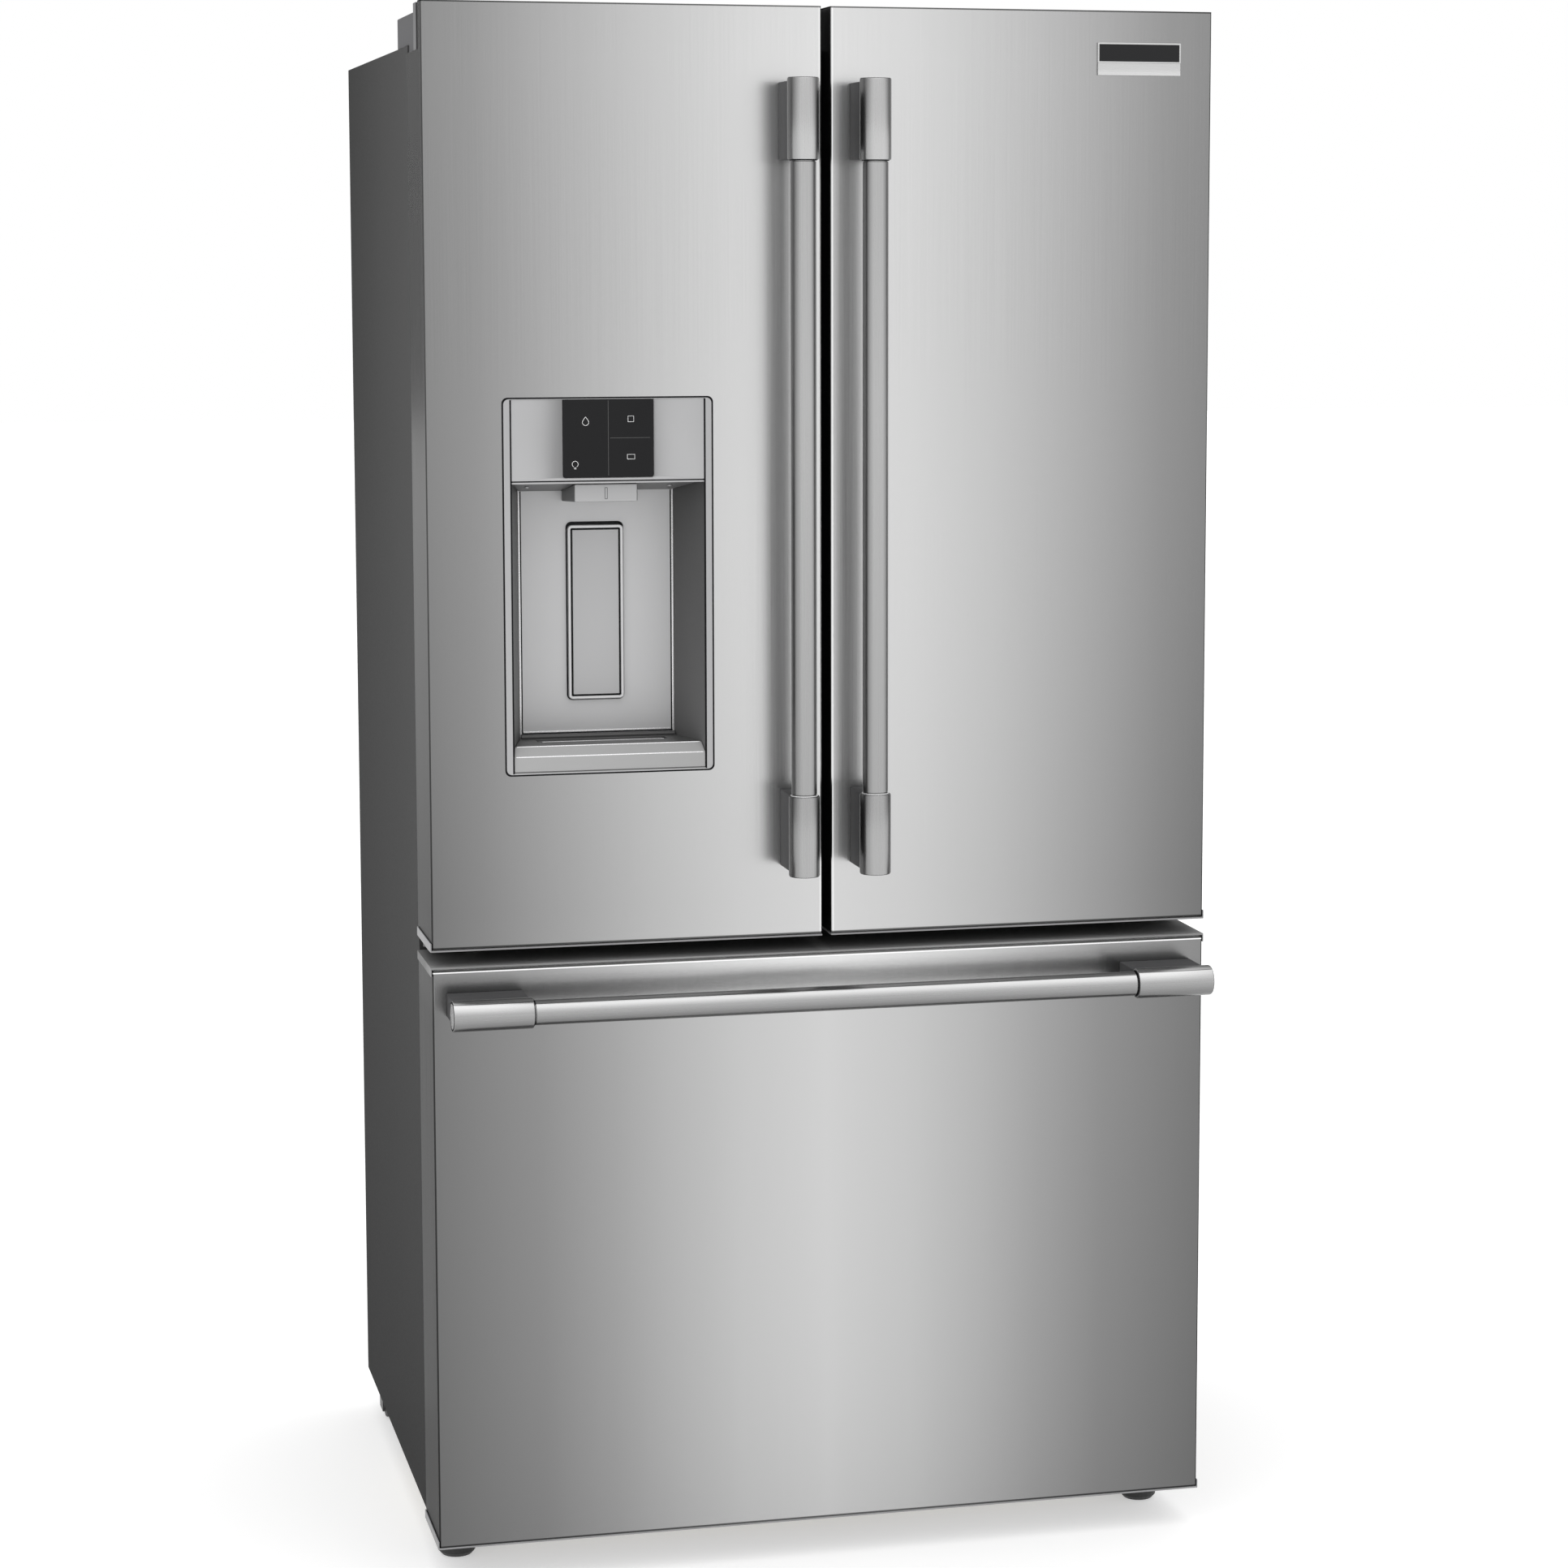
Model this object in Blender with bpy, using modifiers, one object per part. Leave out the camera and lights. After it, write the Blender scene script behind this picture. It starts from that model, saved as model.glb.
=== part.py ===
"""French door refrigerator with a freezer drawer, an ice and water dispenser and tube handles.

Metres, +Z up. The fronts face -Y, the origin is on the floor under the middle of the overall box.
Limits across are x, heights are z, and d is the depth back from the front face of the doors.
"""
import math

import bmesh
import bpy
from mathutils import Matrix, Vector

# ---- driving dimensions ------------------------------------------------------------------------
FRONT_WIDTH = 0.9055          # across both doors, and across the drawer
DOOR_GAP = 0.0106             # between the two doors
CASE_WIDTH = 0.9014
CASE_TOP = 1.738
CASE_BOTTOM = 0.050
CASE_FRONT = 0.125            # depth of the case's front flange
CASE_REAR = 0.713
REAR_FACE = 0.715             # depth of the rear cover's outer face
SKIN_TOP = 1.781              # steel door skins
SKIN_BOTTOM = 0.7365
DRAWER_SKIN_TOP = 0.712
DRAWER_SKIN_BOTTOM = 0.047
FRONT_REAR = 0.116            # depth of the doors' and the drawer's rear face
SHEET = 0.001
GAP = 0.0003                  # between pieces that rest on each other

# Handles.
HANDLE_SPREAD = 0.041         # door handle axes from the middle
DOOR_STANDOFF = 0.0634
DOOR_MOUNT_RADIUS = 0.0175
DOOR_TUBE_RADIUS = 0.01425
DOOR_MOUNTS = {"bottom": (0.8135, 0.9047), "top": (1.610, 1.6995)}
DRAWER_STANDOFF = 0.0648
DRAWER_MOUNT_RADIUS = 0.01725
DRAWER_TUBE_RADIUS = 0.0140
DRAWER_HANDLE_Z = 0.673
DRAWER_MOUNT_X = (0.350, 0.440)
BRACKET_HALF = 0.0135
BRACKET_INSET = 0.003         # the bracket stops this short of the mount's outer end

# Hinges.
PIVOT_X = 0.4365              # door hinge axes from the middle
PIVOT_D = 0.088
PIN_RADIUS = 0.004
PIN_HOLE = 0.0055
HINGE_PLATE = 0.003
CENTRE_HINGE_Z = (0.7215, 0.7265)

# ---- derived -----------------------------------------------------------------------------------
HALF_FRONT = FRONT_WIDTH / 2
HALF_CASE = CASE_WIDTH / 2
INNER_EDGE = DOOR_GAP / 2
HANDLE_PROUD = DRAWER_STANDOFF + DRAWER_MOUNT_RADIUS
FRONT_Y = -(REAR_FACE - HANDLE_PROUD) / 2     # y of the door fronts, so the box is centred on y = 0

LEFT = -1
RIGHT = 1
SIDES = {"left": LEFT, "right": RIGHT}

# End caps: plastic pieces that close a door or the drawer, with a flange outside the steel.
CAP_PROUD = 0.0015
CAP_FLANGE = 0.0100
DOOR_CAP = (0.733, 0.735)
DRAWER_TOP_CAP = (0.7135, 0.7155)
DRAWER_BOTTOM_CAP = (0.0445, 0.0465)
REVEAL_D = 0.006              # depth of the dark groove between steel and cap

# Cavities, as the inner faces of the liners.
LINER = 0.002
CAVITY_X = 0.4027
FRIDGE_Z = (0.7623, 1.6877)
FREEZER_Z = (0.105, 0.685)
FREEZER_STEP = 0.3423
CAVITY_REAR = 0.6477
FREEZER_LOWER_REAR = 0.4277
LINER_FRONT = CASE_FRONT + SHEET + GAP
FOAM_BOTTOM = 0.080
MACHINE_X = 0.428
MACHINE_FRONT = 0.470
MACHINE_CEILING = 0.305

# Shelves (by their undersides), the ice maker and the ledges the drawers run on.
SHELF_D = (0.245, 0.647)
SHELVES = {"upper": 1.430, "middle": 1.180, "crisper": 0.985}
SHELF_THICK = 0.006
ICE_MAKER_RIGHT = -0.190
SLIDE_LEDGE_Z = (0.3400, 0.3545)
BASKET_LEDGE_Z = (0.4120, 0.4245)

# Base frame, feet and rollers.
FRAME_Z = (0.060, 0.0797)
FRAME_FRONT = 0.1268
BRACKET_Z = (0.0297, 0.0425)
FOOT_X = 0.4175
FOOT_D = 0.116
FOOT_RADIUS = 0.0215
ROLLER_X = 0.427
ROLLER_D = 0.655
ROLLER_RADIUS = 0.020

# Hinge corner at the top outer end of each door.
NOTCH_Z = 1.729
NOTCH_D = 0.056
NOTCH_X = 0.3627
RETURN_D = 0.019              # depth of the skin's side return above the notch floor
GROOVE_D = (0.0185, 0.036)
GROOVE_WIDTH = 0.012
COVER_X = (0.3785, 0.4487)
COVER_D = (0.062, 0.237)
COVER_Z = (1.7295, 1.773)

# Door liners: a raised ring (dyke) that the bins hang between.
DYKE_D = 0.170
DYKE_WIDTH = 0.020
DYKE_Z = (0.772, 1.678)
LEFT_DYKE = (-0.400, -0.060)
RIGHT_DYKE = (0.030, 0.400)
BULGE_X = (-0.373, -0.125)
BULGE_Z = (0.900, 1.460)
BULGE_D = 0.165
BIN_D = 0.230
BIN_WALL = 0.0025
GASKET_D = (FRONT_REAR + GAP, 0.1245)
GASKET_WIDTH = 0.014
GASKET_OUTER = 0.4360
GASKET_INNER = 0.0085
DOOR_GASKET_Z = (0.748, 1.705)
DRAWER_GASKET_Z = (0.082, 0.703)

# Dispenser, by its middle and its bezel.
BAY_X = -0.2491
BEZEL_HALF = 0.1172
BEZEL_Z = (0.930, 1.348)
BEZEL_PROUD = 0.0006
BEZEL_THICK = 0.0042
BAY_HALF = 0.1094             # half width of the opening at its front
BAY_REAR_HALF = 0.0894
BAY_FLOOR = 0.9322
BAY_REAR = 0.085
BAY_CEILING = (1.2567, 1.242)      # at the front and at the rear
HOUSING_HALF = 0.1115
HOUSING_Z = (0.9308, 1.3472)
HOUSING_REAR = 0.109
FASCIA_Z = (1.2588, 1.348)
FASCIA_REAR = 0.0197
DISPLAY_X = (-0.300, -0.198)
DISPLAY_Z = (1.2605, 1.3478)
SPOUT_X = (-0.284, -0.2126)
PADDLE_X = (-0.2826, -0.2187)
PADDLE_Z = (1.0037, 1.2022)
PADDLE_D = (0.0775, 0.0830)
PADDLE_PIVOT_D = 0.0935
PADDLE_PIVOT_Z = 1.196
PADDLE_PIN = 0.0025
TRAY_TOP = 0.960

# Flipper mullion, which folds about an axis on the left door's inner edge.
FLIPPER_X = -0.044
FLIPPER_D = 0.131
FLIPPER_PIN = 0.0025

MODEL = bpy.data.collections.new("french_door_refrigerator")
CUTTERS = bpy.data.collections.new("cutters")


# ---- scene and materials -----------------------------------------------------------------------
def clear_scene():
    """Remove every object that the file opened with."""
    for obj in list(bpy.data.objects):
        bpy.data.objects.remove(obj, do_unlink=True)
    for group in (MODEL, CUTTERS):
        bpy.context.scene.collection.children.link(group)


def finish(name, colour, roughness, metallic, alpha=1.0):
    """A Principled material."""
    mat = bpy.data.materials.new(name)
    mat.use_nodes = True
    shader = mat.node_tree.nodes["Principled BSDF"]
    shader.inputs["Base Color"].default_value = (*colour, 1.0)
    shader.inputs["Roughness"].default_value = roughness
    shader.inputs["Metallic"].default_value = metallic
    shader.inputs["Alpha"].default_value = alpha
    return mat


STEEL = dict(colour=(0.52, 0.52, 0.53), roughness=0.32, metallic=1.0)
HANDLE_STEEL = dict(colour=(0.62, 0.62, 0.63), roughness=0.28, metallic=1.0)
GREY_PAINT = dict(colour=(0.09, 0.09, 0.095), roughness=0.55, metallic=0.0)
CAP_GREY = dict(colour=(0.36, 0.36, 0.37), roughness=0.5, metallic=0.0)
SILVER_PLASTIC = dict(colour=(0.46, 0.46, 0.47), roughness=0.38, metallic=0.6)
DARK_PLASTIC = dict(colour=(0.07, 0.07, 0.075), roughness=0.5, metallic=0.0)
BLACK_GLASS = dict(colour=(0.012, 0.012, 0.014), roughness=0.08, metallic=0.0)
BLACK_RUBBER = dict(colour=(0.02, 0.02, 0.02), roughness=0.8, metallic=0.0)
WHITE_PLASTIC = dict(colour=(0.80, 0.80, 0.79), roughness=0.45, metallic=0.0)
GASKET_GREY = dict(colour=(0.30, 0.30, 0.31), roughness=0.75, metallic=0.0)
FOAM = dict(colour=(0.72, 0.62, 0.38), roughness=0.9, metallic=0.0)
ZINC = dict(colour=(0.55, 0.55, 0.54), roughness=0.42, metallic=1.0)
BLACK_PAINT = dict(colour=(0.02, 0.02, 0.022), roughness=0.45, metallic=0.0)
SHELF_GLASS = dict(colour=(0.78, 0.88, 0.86), roughness=0.05, metallic=0.0, alpha=0.35)
CLEAR_PLASTIC = dict(colour=(0.82, 0.86, 0.88), roughness=0.12, metallic=0.0, alpha=0.5)


# ---- placing -----------------------------------------------------------------------------------
def across(side, near, far):
    """The x limits of a piece between two distances from the middle, on one side."""
    return tuple(sorted((side * near, side * far)))


def point(x, d, z):
    """A world point from x, the depth behind the door fronts and the height."""
    return Vector((x, FRONT_Y + d, z))


def add_object(name, mesh, look, location=(0, 0, 0)):
    """Link a mesh as a part with its own material, or as a cutter when it has no look."""
    obj = bpy.data.objects.new(name, mesh)
    obj.location = location
    if look is None:
        CUTTERS.objects.link(obj)
        obj.hide_render = True
        obj.display_type = "WIRE"
    else:
        MODEL.objects.link(obj)
        mesh.materials.append(finish(name, **look))
    return obj


def mesh_from(bm, name):
    """Turn a bmesh into mesh data."""
    mesh = bpy.data.meshes.new(name)
    bm.to_mesh(mesh)
    bm.free()
    return mesh


def cube_mesh(size):
    """A bmesh box of the given size, centred on its origin."""
    bm = bmesh.new()
    bmesh.ops.create_cube(bm, size=1.0, matrix=Matrix.Diagonal((*size, 1.0)))
    return bm


def edges_along(bm, axis):
    """The edges that run along one axis (0, 1 or 2)."""
    found = []
    for edge in bm.edges:
        way = edge.verts[0].co - edge.verts[1].co
        if abs(way[axis]) > 0.999 * way.length:
            found.append(edge)
    return found


def round_edges(bm, axis, radius, segments=3):
    """Round the edges that run along one axis."""
    bmesh.ops.bevel(bm, geom=edges_along(bm, axis), offset=radius, segments=segments, profile=0.5,
                    affect="EDGES", clamp_overlap=True)


def block(name, x, d, z, look=None, round_axis=None, radius=0.0, segments=3):
    """A box between limits, with its edges along one axis rounded if asked."""
    low = point(x[0], d[0], z[0])
    high = point(x[1], d[1], z[1])
    bm = cube_mesh(high - low)
    if round_axis is not None:
        round_edges(bm, round_axis, radius, segments)
    return add_object(name, mesh_from(bm, name), look, (low + high) / 2)


def tapered(name, near, far, look=None, chamfer=0.0):
    """A box whose near and far ends differ, each (d, x limits, z limits), chamfered in front."""
    bm = cube_mesh((1, 1, 1))
    front_top = [edge for edge in bm.edges
                 if all(vert.co.y < 0 < vert.co.z for vert in edge.verts)]
    for vert in bm.verts:
        d, x, z = far if vert.co.y > 0 else near
        vert.co = point(x[vert.co.x > 0], d, z[vert.co.z > 0])
    if chamfer:
        bmesh.ops.bevel(bm, geom=front_top, offset=chamfer, segments=1, affect="EDGES")
    return add_object(name, mesh_from(bm, name), look)


def rod(name, start, end, radius, look=None, segments=24):
    """A cylinder between two points."""
    way = end - start
    bm = bmesh.new()
    bmesh.ops.create_cone(bm, cap_ends=True, segments=segments, radius1=radius, radius2=radius,
                          depth=way.length)
    obj = add_object(name, mesh_from(bm, name), look, (start + end) / 2)
    obj.rotation_mode = "QUATERNION"
    obj.rotation_quaternion = way.to_track_quat("Z", "Y")
    smooth_by_angle(obj)
    return obj


def smooth_by_angle(obj, angle=35):
    """Shade a round piece smooth, with its real edges kept sharp."""
    obj.data.shade_smooth()
    obj.data.set_sharp_from_angle(angle=math.radians(angle))


def turned(name, profile, look, location, axis=(0, 0, 1), steps=24):
    """A turned piece: profile is (radius, height) from the top down, spun about the given axis."""
    bm = bmesh.new()
    verts = [bm.verts.new((radius, 0, height)) for radius, height in profile]
    for first, second in zip(verts, verts[1:]):
        bm.edges.new((first, second))
    obj = add_object(name, mesh_from(bm, name), look, location)
    obj.rotation_mode = "QUATERNION"
    obj.rotation_quaternion = Vector(axis).to_track_quat("Z", "Y")
    spin = obj.modifiers.new("spin", "SCREW")
    spin.steps = steps
    spin.render_steps = steps
    spin.use_merge_vertices = True
    spin.merge_threshold = 0.00005
    spin.use_smooth_shade = False
    return obj


def move_origin(obj, place):
    """Put an object's origin on its joint's axis without moving its shape."""
    obj.data.transform(Matrix.Translation(obj.location - place))
    obj.location = place


def tube(name, start, end, radius, look, resolution=14):
    """A straight tube or bar, as a bevelled curve with filled caps."""
    curve = bpy.data.curves.new(name, "CURVE")
    curve.dimensions = "3D"
    curve.bevel_depth = radius
    curve.bevel_resolution = resolution
    curve.use_fill_caps = True
    spline = curve.splines.new("POLY")
    spline.points.add(1)
    spline.points[1].co = (*(end - start), 1.0)
    return add_object(name, curve, look, start)


# ---- combining ---------------------------------------------------------------------------------
def combine(obj, other, operation):
    """Cut one object with another, or join it on, with a Boolean modifier."""
    step = obj.modifiers.new(other.name, "BOOLEAN")
    step.operation = operation
    step.object = other
    return obj


def cut(obj, *others):
    """Take other objects away from obj."""
    for other in others:
        combine(obj, other, "DIFFERENCE")
    return obj


def join(obj, *others):
    """Join other objects on to obj."""
    for other in others:
        combine(obj, other, "UNION")
    return obj


def frame(name, x, d, z, width, look=None):
    """A rectangular ring that faces front."""
    ring = block(name, x, d, z, look)
    hole = block(name + "_hole", (x[0] + width, x[1] - width), (d[0] - 0.01, d[1] + 0.01),
                 (z[0] + width, z[1] - width))
    return cut(ring, hole)


def thicken(obj, wall, inward=True):
    """Give an open surface a wall thickness."""
    shell = obj.modifiers.new("wall", "SOLIDIFY")
    shell.thickness = wall
    shell.offset = -1.0 if inward else 0.0
    shell.use_even_offset = True
    return obj


def open_box(name, x, d, z, wall, look, missing, round_axis=None, radius=0.0):
    """A thin-walled box without the sides that face the missing directions."""
    low = point(x[0], d[0], z[0])
    high = point(x[1], d[1], z[1])
    bm = cube_mesh(high - low)
    if round_axis is not None:
        round_edges(bm, round_axis, radius, 2)
    bm.normal_update()
    gone = [face for face in bm.faces if any(face.normal.dot(Vector(way)) > 0.9 for way in missing)]
    bmesh.ops.delete(bm, geom=gone, context="FACES")
    return thicken(add_object(name, mesh_from(bm, name), look, (low + high) / 2), wall)


def tub(name, x, d, z, wall, look, radius=0.012):
    """A bin, drawer or basket: open on top, with rounded upright corners."""
    return open_box(name, x, d, z, wall, look, [(0, 0, 1)], round_axis=2, radius=radius)


def rounded_path(corners, radius, steps=3):
    """A polyline through corners with its inner corners turned into arcs."""
    path = [corners[0]]
    for before, corner, after in zip(corners, corners[1:], corners[2:]):
        back = (before - corner).normalized()
        on = (after - corner).normalized()
        start = corner + back * radius
        middle = start + on * radius
        for step in range(steps + 1):
            turn = math.radians(90) * step / steps
            path.append(middle - on * radius * math.cos(turn) - back * radius * math.sin(turn))
    path.append(corners[-1])
    return path


def folded_skin(name, x, z, look):
    """A sheet steel front with a return along each side, back to the rear face."""
    half = SHEET / 2
    outer = (x[0] + half, x[1] - half)
    corners = [
        Vector((outer[0], FRONT_REAR, 0)),
        Vector((outer[0], half, 0)),
        Vector((outer[1], half, 0)),
        Vector((outer[1], FRONT_REAR, 0)),
    ]
    path = rounded_path(corners, 0.002)
    bm = bmesh.new()
    lower = [bm.verts.new(point(p.x, p.y, z[0])) for p in path]
    upper = [bm.verts.new(point(p.x, p.y, z[1])) for p in path]
    for index in range(len(path) - 1):
        bm.faces.new((lower[index], lower[index + 1], upper[index + 1], upper[index]))
    return thicken(add_object(name, mesh_from(bm, name), look), SHEET, inward=False)


# ---- cabinet -----------------------------------------------------------------------------------
def build_case():
    """Painted wrapper with a window in its front flange for each cavity."""
    case = open_box("outer_case", (-HALF_CASE, HALF_CASE), (CASE_FRONT, CASE_REAR),
                    (CASE_BOTTOM, CASE_TOP), SHEET, GREY_PAINT, missing=[(0, 1, 0), (0, 0, -1)])
    for name, z in (("fridge_window", FRIDGE_Z), ("freezer_window", FREEZER_Z)):
        cut(case, block(name, (-CAVITY_X, CAVITY_X), (CASE_FRONT - 0.01, CASE_FRONT + 0.01), z))


def cavity(name, z, rear, grow):
    """A block that fills one cavity from in front of the case to its rear wall, grown all round."""
    return block(name, (-CAVITY_X - grow, CAVITY_X + grow), (CASE_FRONT - 0.01, rear + grow),
                 (z[0] - grow, z[1] + grow))


def build_insulation():
    """Foam body between wrapper and liners, open at the bottom rear for the compressor."""
    side = HALF_CASE - SHEET - GAP
    foam = block("cabinet_insulation", (-side, side), (LINER_FRONT, CASE_REAR - GAP),
                 (FOAM_BOTTOM, CASE_TOP - SHEET - GAP), FOAM)
    grow = LINER + GAP
    cut(foam, cavity("fridge_room", FRIDGE_Z, CAVITY_REAR, grow))
    cut(foam, cavity("freezer_room", (FREEZER_STEP, FREEZER_Z[1]), CAVITY_REAR, grow))
    lower = (FREEZER_Z[0], FREEZER_STEP + 0.01)
    cut(foam, cavity("freezer_lower_room", lower, FREEZER_LOWER_REAR, grow))
    cut(foam, block("machine_room", (-MACHINE_X, MACHINE_X), (MACHINE_FRONT, REAR_FACE + 0.01),
                    (FOAM_BOTTOM - 0.01, MACHINE_CEILING)))


def ledge(name, side, inner, d, z):
    """A support rib moulded on a liner's side wall."""
    return block(name, across(side, inner, CAVITY_X + LINER / 2), d, z)


def build_fridge_liner():
    """Moulded liner of the upper cavity, with ribs under the shelves."""
    outer = CAVITY_X + LINER
    liner = open_box("fridge_liner", (-outer, outer), (LINER_FRONT, CAVITY_REAR + LINER),
                     (FRIDGE_Z[0] - LINER, FRIDGE_Z[1] + LINER), LINER, WHITE_PLASTIC,
                     missing=[(0, -1, 0)])
    for name, bottom in SHELVES.items():
        for side_name, side in SIDES.items():
            if (name, side_name) == ("upper", "left"):
                continue
            rib = ledge(f"{name}_{side_name}_rib", side, 0.3927, (0.260, 0.640),
                        (bottom - GAP - 0.008, bottom - GAP))
            join(liner, rib)


def build_freezer_liner():
    """Moulded liner of the lower cavity: a step at the rear and two ledges on each side."""
    outer = CAVITY_X + LINER
    liner = block("freezer_liner", (-outer, outer), (LINER_FRONT, CAVITY_REAR + LINER),
                  (FREEZER_STEP - LINER, FREEZER_Z[1] + LINER), WHITE_PLASTIC)
    join(liner, block("liner_lower", (-outer, outer), (LINER_FRONT, FREEZER_LOWER_REAR + LINER),
                      (FREEZER_Z[0] - LINER, FREEZER_STEP + 0.02)))
    cut(liner, cavity("liner_upper_inside", (FREEZER_STEP, FREEZER_Z[1]), CAVITY_REAR, 0.0))
    cut(liner, cavity("liner_lower_inside", (FREEZER_Z[0], FREEZER_STEP + 0.01),
                      FREEZER_LOWER_REAR, 0.0))
    for side_name, side in SIDES.items():
        join(liner, ledge(f"{side_name}_slide_ledge", side, 0.376, (0.140, 0.630), SLIDE_LEDGE_Z))
        join(liner, ledge(f"{side_name}_basket_ledge", side, 0.372, (0.140, 0.630),
                          BASKET_LEDGE_Z))


def build_rear_cover():
    """Sheet over the whole back, with louvres over the compressor."""
    cover = block("rear_cover", (-HALF_CASE, HALF_CASE), (CASE_REAR + GAP, REAR_FACE),
                  (FRAME_Z[0], CASE_TOP - 0.0005), ZINC)
    for row in range(6):
        low = 0.100 + 0.030 * row
        for side_name, side in SIDES.items():
            cut(cover, block(f"{side_name}_louvre_{row}", across(side, 0.030, 0.360),
                             (CASE_REAR - 0.01, REAR_FACE + 0.01), (low, low + 0.009)))


def build_base_frame():
    """Steel base: rails, a rear plate, foot brackets and forks for the rear rollers."""
    half = HALF_CASE - SHEET - 0.0005
    rear = CASE_REAR - 0.001
    base = block("base_frame", (-half, half), (FRAME_FRONT, 0.165), FRAME_Z, BLACK_PAINT)
    join(base, block("rear_plate", (-half, half), (0.465, rear), (FRAME_Z[0], FRAME_Z[0] + 0.006)))
    for name, side in SIDES.items():
        join(base, block(f"{name}_rail", across(side, 0.405, half), (FRAME_FRONT, rear), FRAME_Z))
        bracket = across(side, 0.397, 0.438)
        join(base, block(f"{name}_riser", bracket, (0.150, 0.180),
                         (BRACKET_Z[0], FRAME_Z[0] + 0.005)))
        join(base, block(f"{name}_bracket", bracket, (0.100, 0.180), BRACKET_Z))
        cut(base, rod(f"{name}_foot_hole", point(side * FOOT_X, FOOT_D, 0.02),
                      point(side * FOOT_X, FOOT_D, 0.06), 0.0056))
        for fork, x in (("inner", (0.4130, 0.4170)), ("outer", (0.4370, 0.4410))):
            join(base, block(f"{name}_{fork}_fork", across(side, *x),
                             (ROLLER_D - 0.015, ROLLER_D + 0.015), (0.011, FRAME_Z[0] + 0.005)))
        join(base, rod(f"{name}_axle", point(side * 0.4145, ROLLER_D, ROLLER_RADIUS),
                       point(side * 0.4395, ROLLER_D, ROLLER_RADIUS), 0.004))


def build_feet_and_rollers():
    """Front levelling feet on their threaded stems, and the rear rollers."""
    foot = [(0, 0.0415), (0.0048, 0.0415), (0.0048, 0.0290), (0.0105, 0.0290), (0.0105, 0.0180),
            (0.0180, 0.0165), (FOOT_RADIUS, 0.0120), (FOOT_RADIUS, 0.0045), (0.0175, 0.0), (0, 0)]
    bore = 0.0046
    wheel = [(bore, 0.009), (0.0185, 0.009), (ROLLER_RADIUS, 0.0075), (ROLLER_RADIUS, -0.0075),
             (0.0185, -0.009), (bore, -0.009), (bore, 0.009)]
    for name, side in SIDES.items():
        turned(f"{name}_foot", foot, BLACK_RUBBER, point(side * FOOT_X, FOOT_D, 0))
        turned(f"{name}_roller", wheel, DARK_PLASTIC,
               point(side * ROLLER_X, ROLLER_D, ROLLER_RADIUS), axis=(1, 0, 0))


def build_compressor():
    """Welded compressor shell on its base plate."""
    base = FRAME_Z[0] + 0.006 + GAP
    shell = [(0, 0.180), (0.030, 0.177), (0.054, 0.166), (0.070, 0.144), (0.076, 0.112),
             (0.076, 0.096), (0.081, 0.094), (0.081, 0.088), (0.076, 0.086), (0.074, 0.040),
             (0.058, 0.016), (0, 0.012)]
    body = turned("compressor", shell, BLACK_PAINT, point(0.220, 0.590, base))
    join(body, block("compressor_foot", (0.130, 0.310), (0.505, 0.675), (base, base + 0.014)))


def build_top_hinges():
    """Hinge plates on the case top, each with a pin down into its door, under a plastic cover."""
    for name, side in SIDES.items():
        low = CASE_TOP + GAP
        hinge = block(f"{name}_top_hinge", across(side, COVER_X[0] + 0.006, COVER_X[1] - 0.0060),
                      (COVER_D[0] + 0.012, COVER_D[1] - 0.007), (low, low + HINGE_PLATE), ZINC)
        join(hinge, rod(f"{name}_top_pin", point(side * PIVOT_X, PIVOT_D, 1.713),
                        point(side * PIVOT_X, PIVOT_D, low + HINGE_PLATE / 2), PIN_RADIUS))
        cover = open_box(f"{name}_hinge_cover", across(side, *COVER_X), COVER_D, COVER_Z, 0.002,
                         CAP_GREY, missing=[(0, 0, -1)], round_axis=2, radius=0.012)
        cut(cover, block(f"{name}_cover_step", across(side, 0.36, 0.47),
                         (CASE_FRONT - 0.001, 0.26), (1.70, low)))


def build_centre_hinges():
    """Hinge plates between the doors and the drawer, each with a pin up into its door."""
    for name, side in SIDES.items():
        plate = block(f"{name}_centre_hinge", across(side, 0.400, 0.4465), (0.077, 0.1247),
                      CENTRE_HINGE_Z, ZINC)
        join(plate, block(f"{name}_hinge_tab", across(side, 0.385, 0.4465), (0.1215, 0.1247),
                          (0.7180, 0.7305)))
        join(plate, rod(f"{name}_centre_pin", point(side * PIVOT_X, PIVOT_D, 0.724),
                        point(side * PIVOT_X, PIVOT_D, 0.7515), PIN_RADIUS))


def build_fridge_inside():
    """Ice maker, glass shelves and the two crisper drawers under their cover."""
    wall = CAVITY_X - 0.0005
    upper = SHELVES["upper"]
    ice = block("ice_maker", (-wall, ICE_MAKER_RIGHT), (0.240, 0.600), (1.420, FRIDGE_Z[1] - GAP),
                WHITE_PLASTIC, round_axis=0, radius=0.012)
    join(ice, block("ice_maker_ledge", (ICE_MAKER_RIGHT - 0.004, ICE_MAKER_RIGHT + 0.010),
                    (0.260, 0.590), (upper - GAP - 0.008, upper - GAP)))
    cut(ice, block("ice_chute", (-0.300, -0.220), (0.255, 0.330), (1.40, 1.460)))
    block("upper_shelf", (ICE_MAKER_RIGHT + 0.0005, wall), SHELF_D, (upper, upper + SHELF_THICK),
          SHELF_GLASS)
    middle = SHELVES["middle"]
    block("middle_shelf", (-wall, wall), SHELF_D, (middle, middle + SHELF_THICK), SHELF_GLASS)
    lid = SHELVES["crisper"]
    cover = block("crisper_cover", (-wall, wall), SHELF_D, (lid, lid + SHELF_THICK), SHELF_GLASS)
    join(cover, block("crisper_post", (-0.0025, 0.0025), (0.275, 0.640),
                      (FRIDGE_Z[0] + GAP, lid + 0.002)))
    for name, side in SIDES.items():
        tub(f"{name}_crisper", across(side, 0.0045, 0.3965), (0.270, 0.620), (0.7635, 0.972),
            0.0025, CLEAR_PLASTIC)


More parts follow.
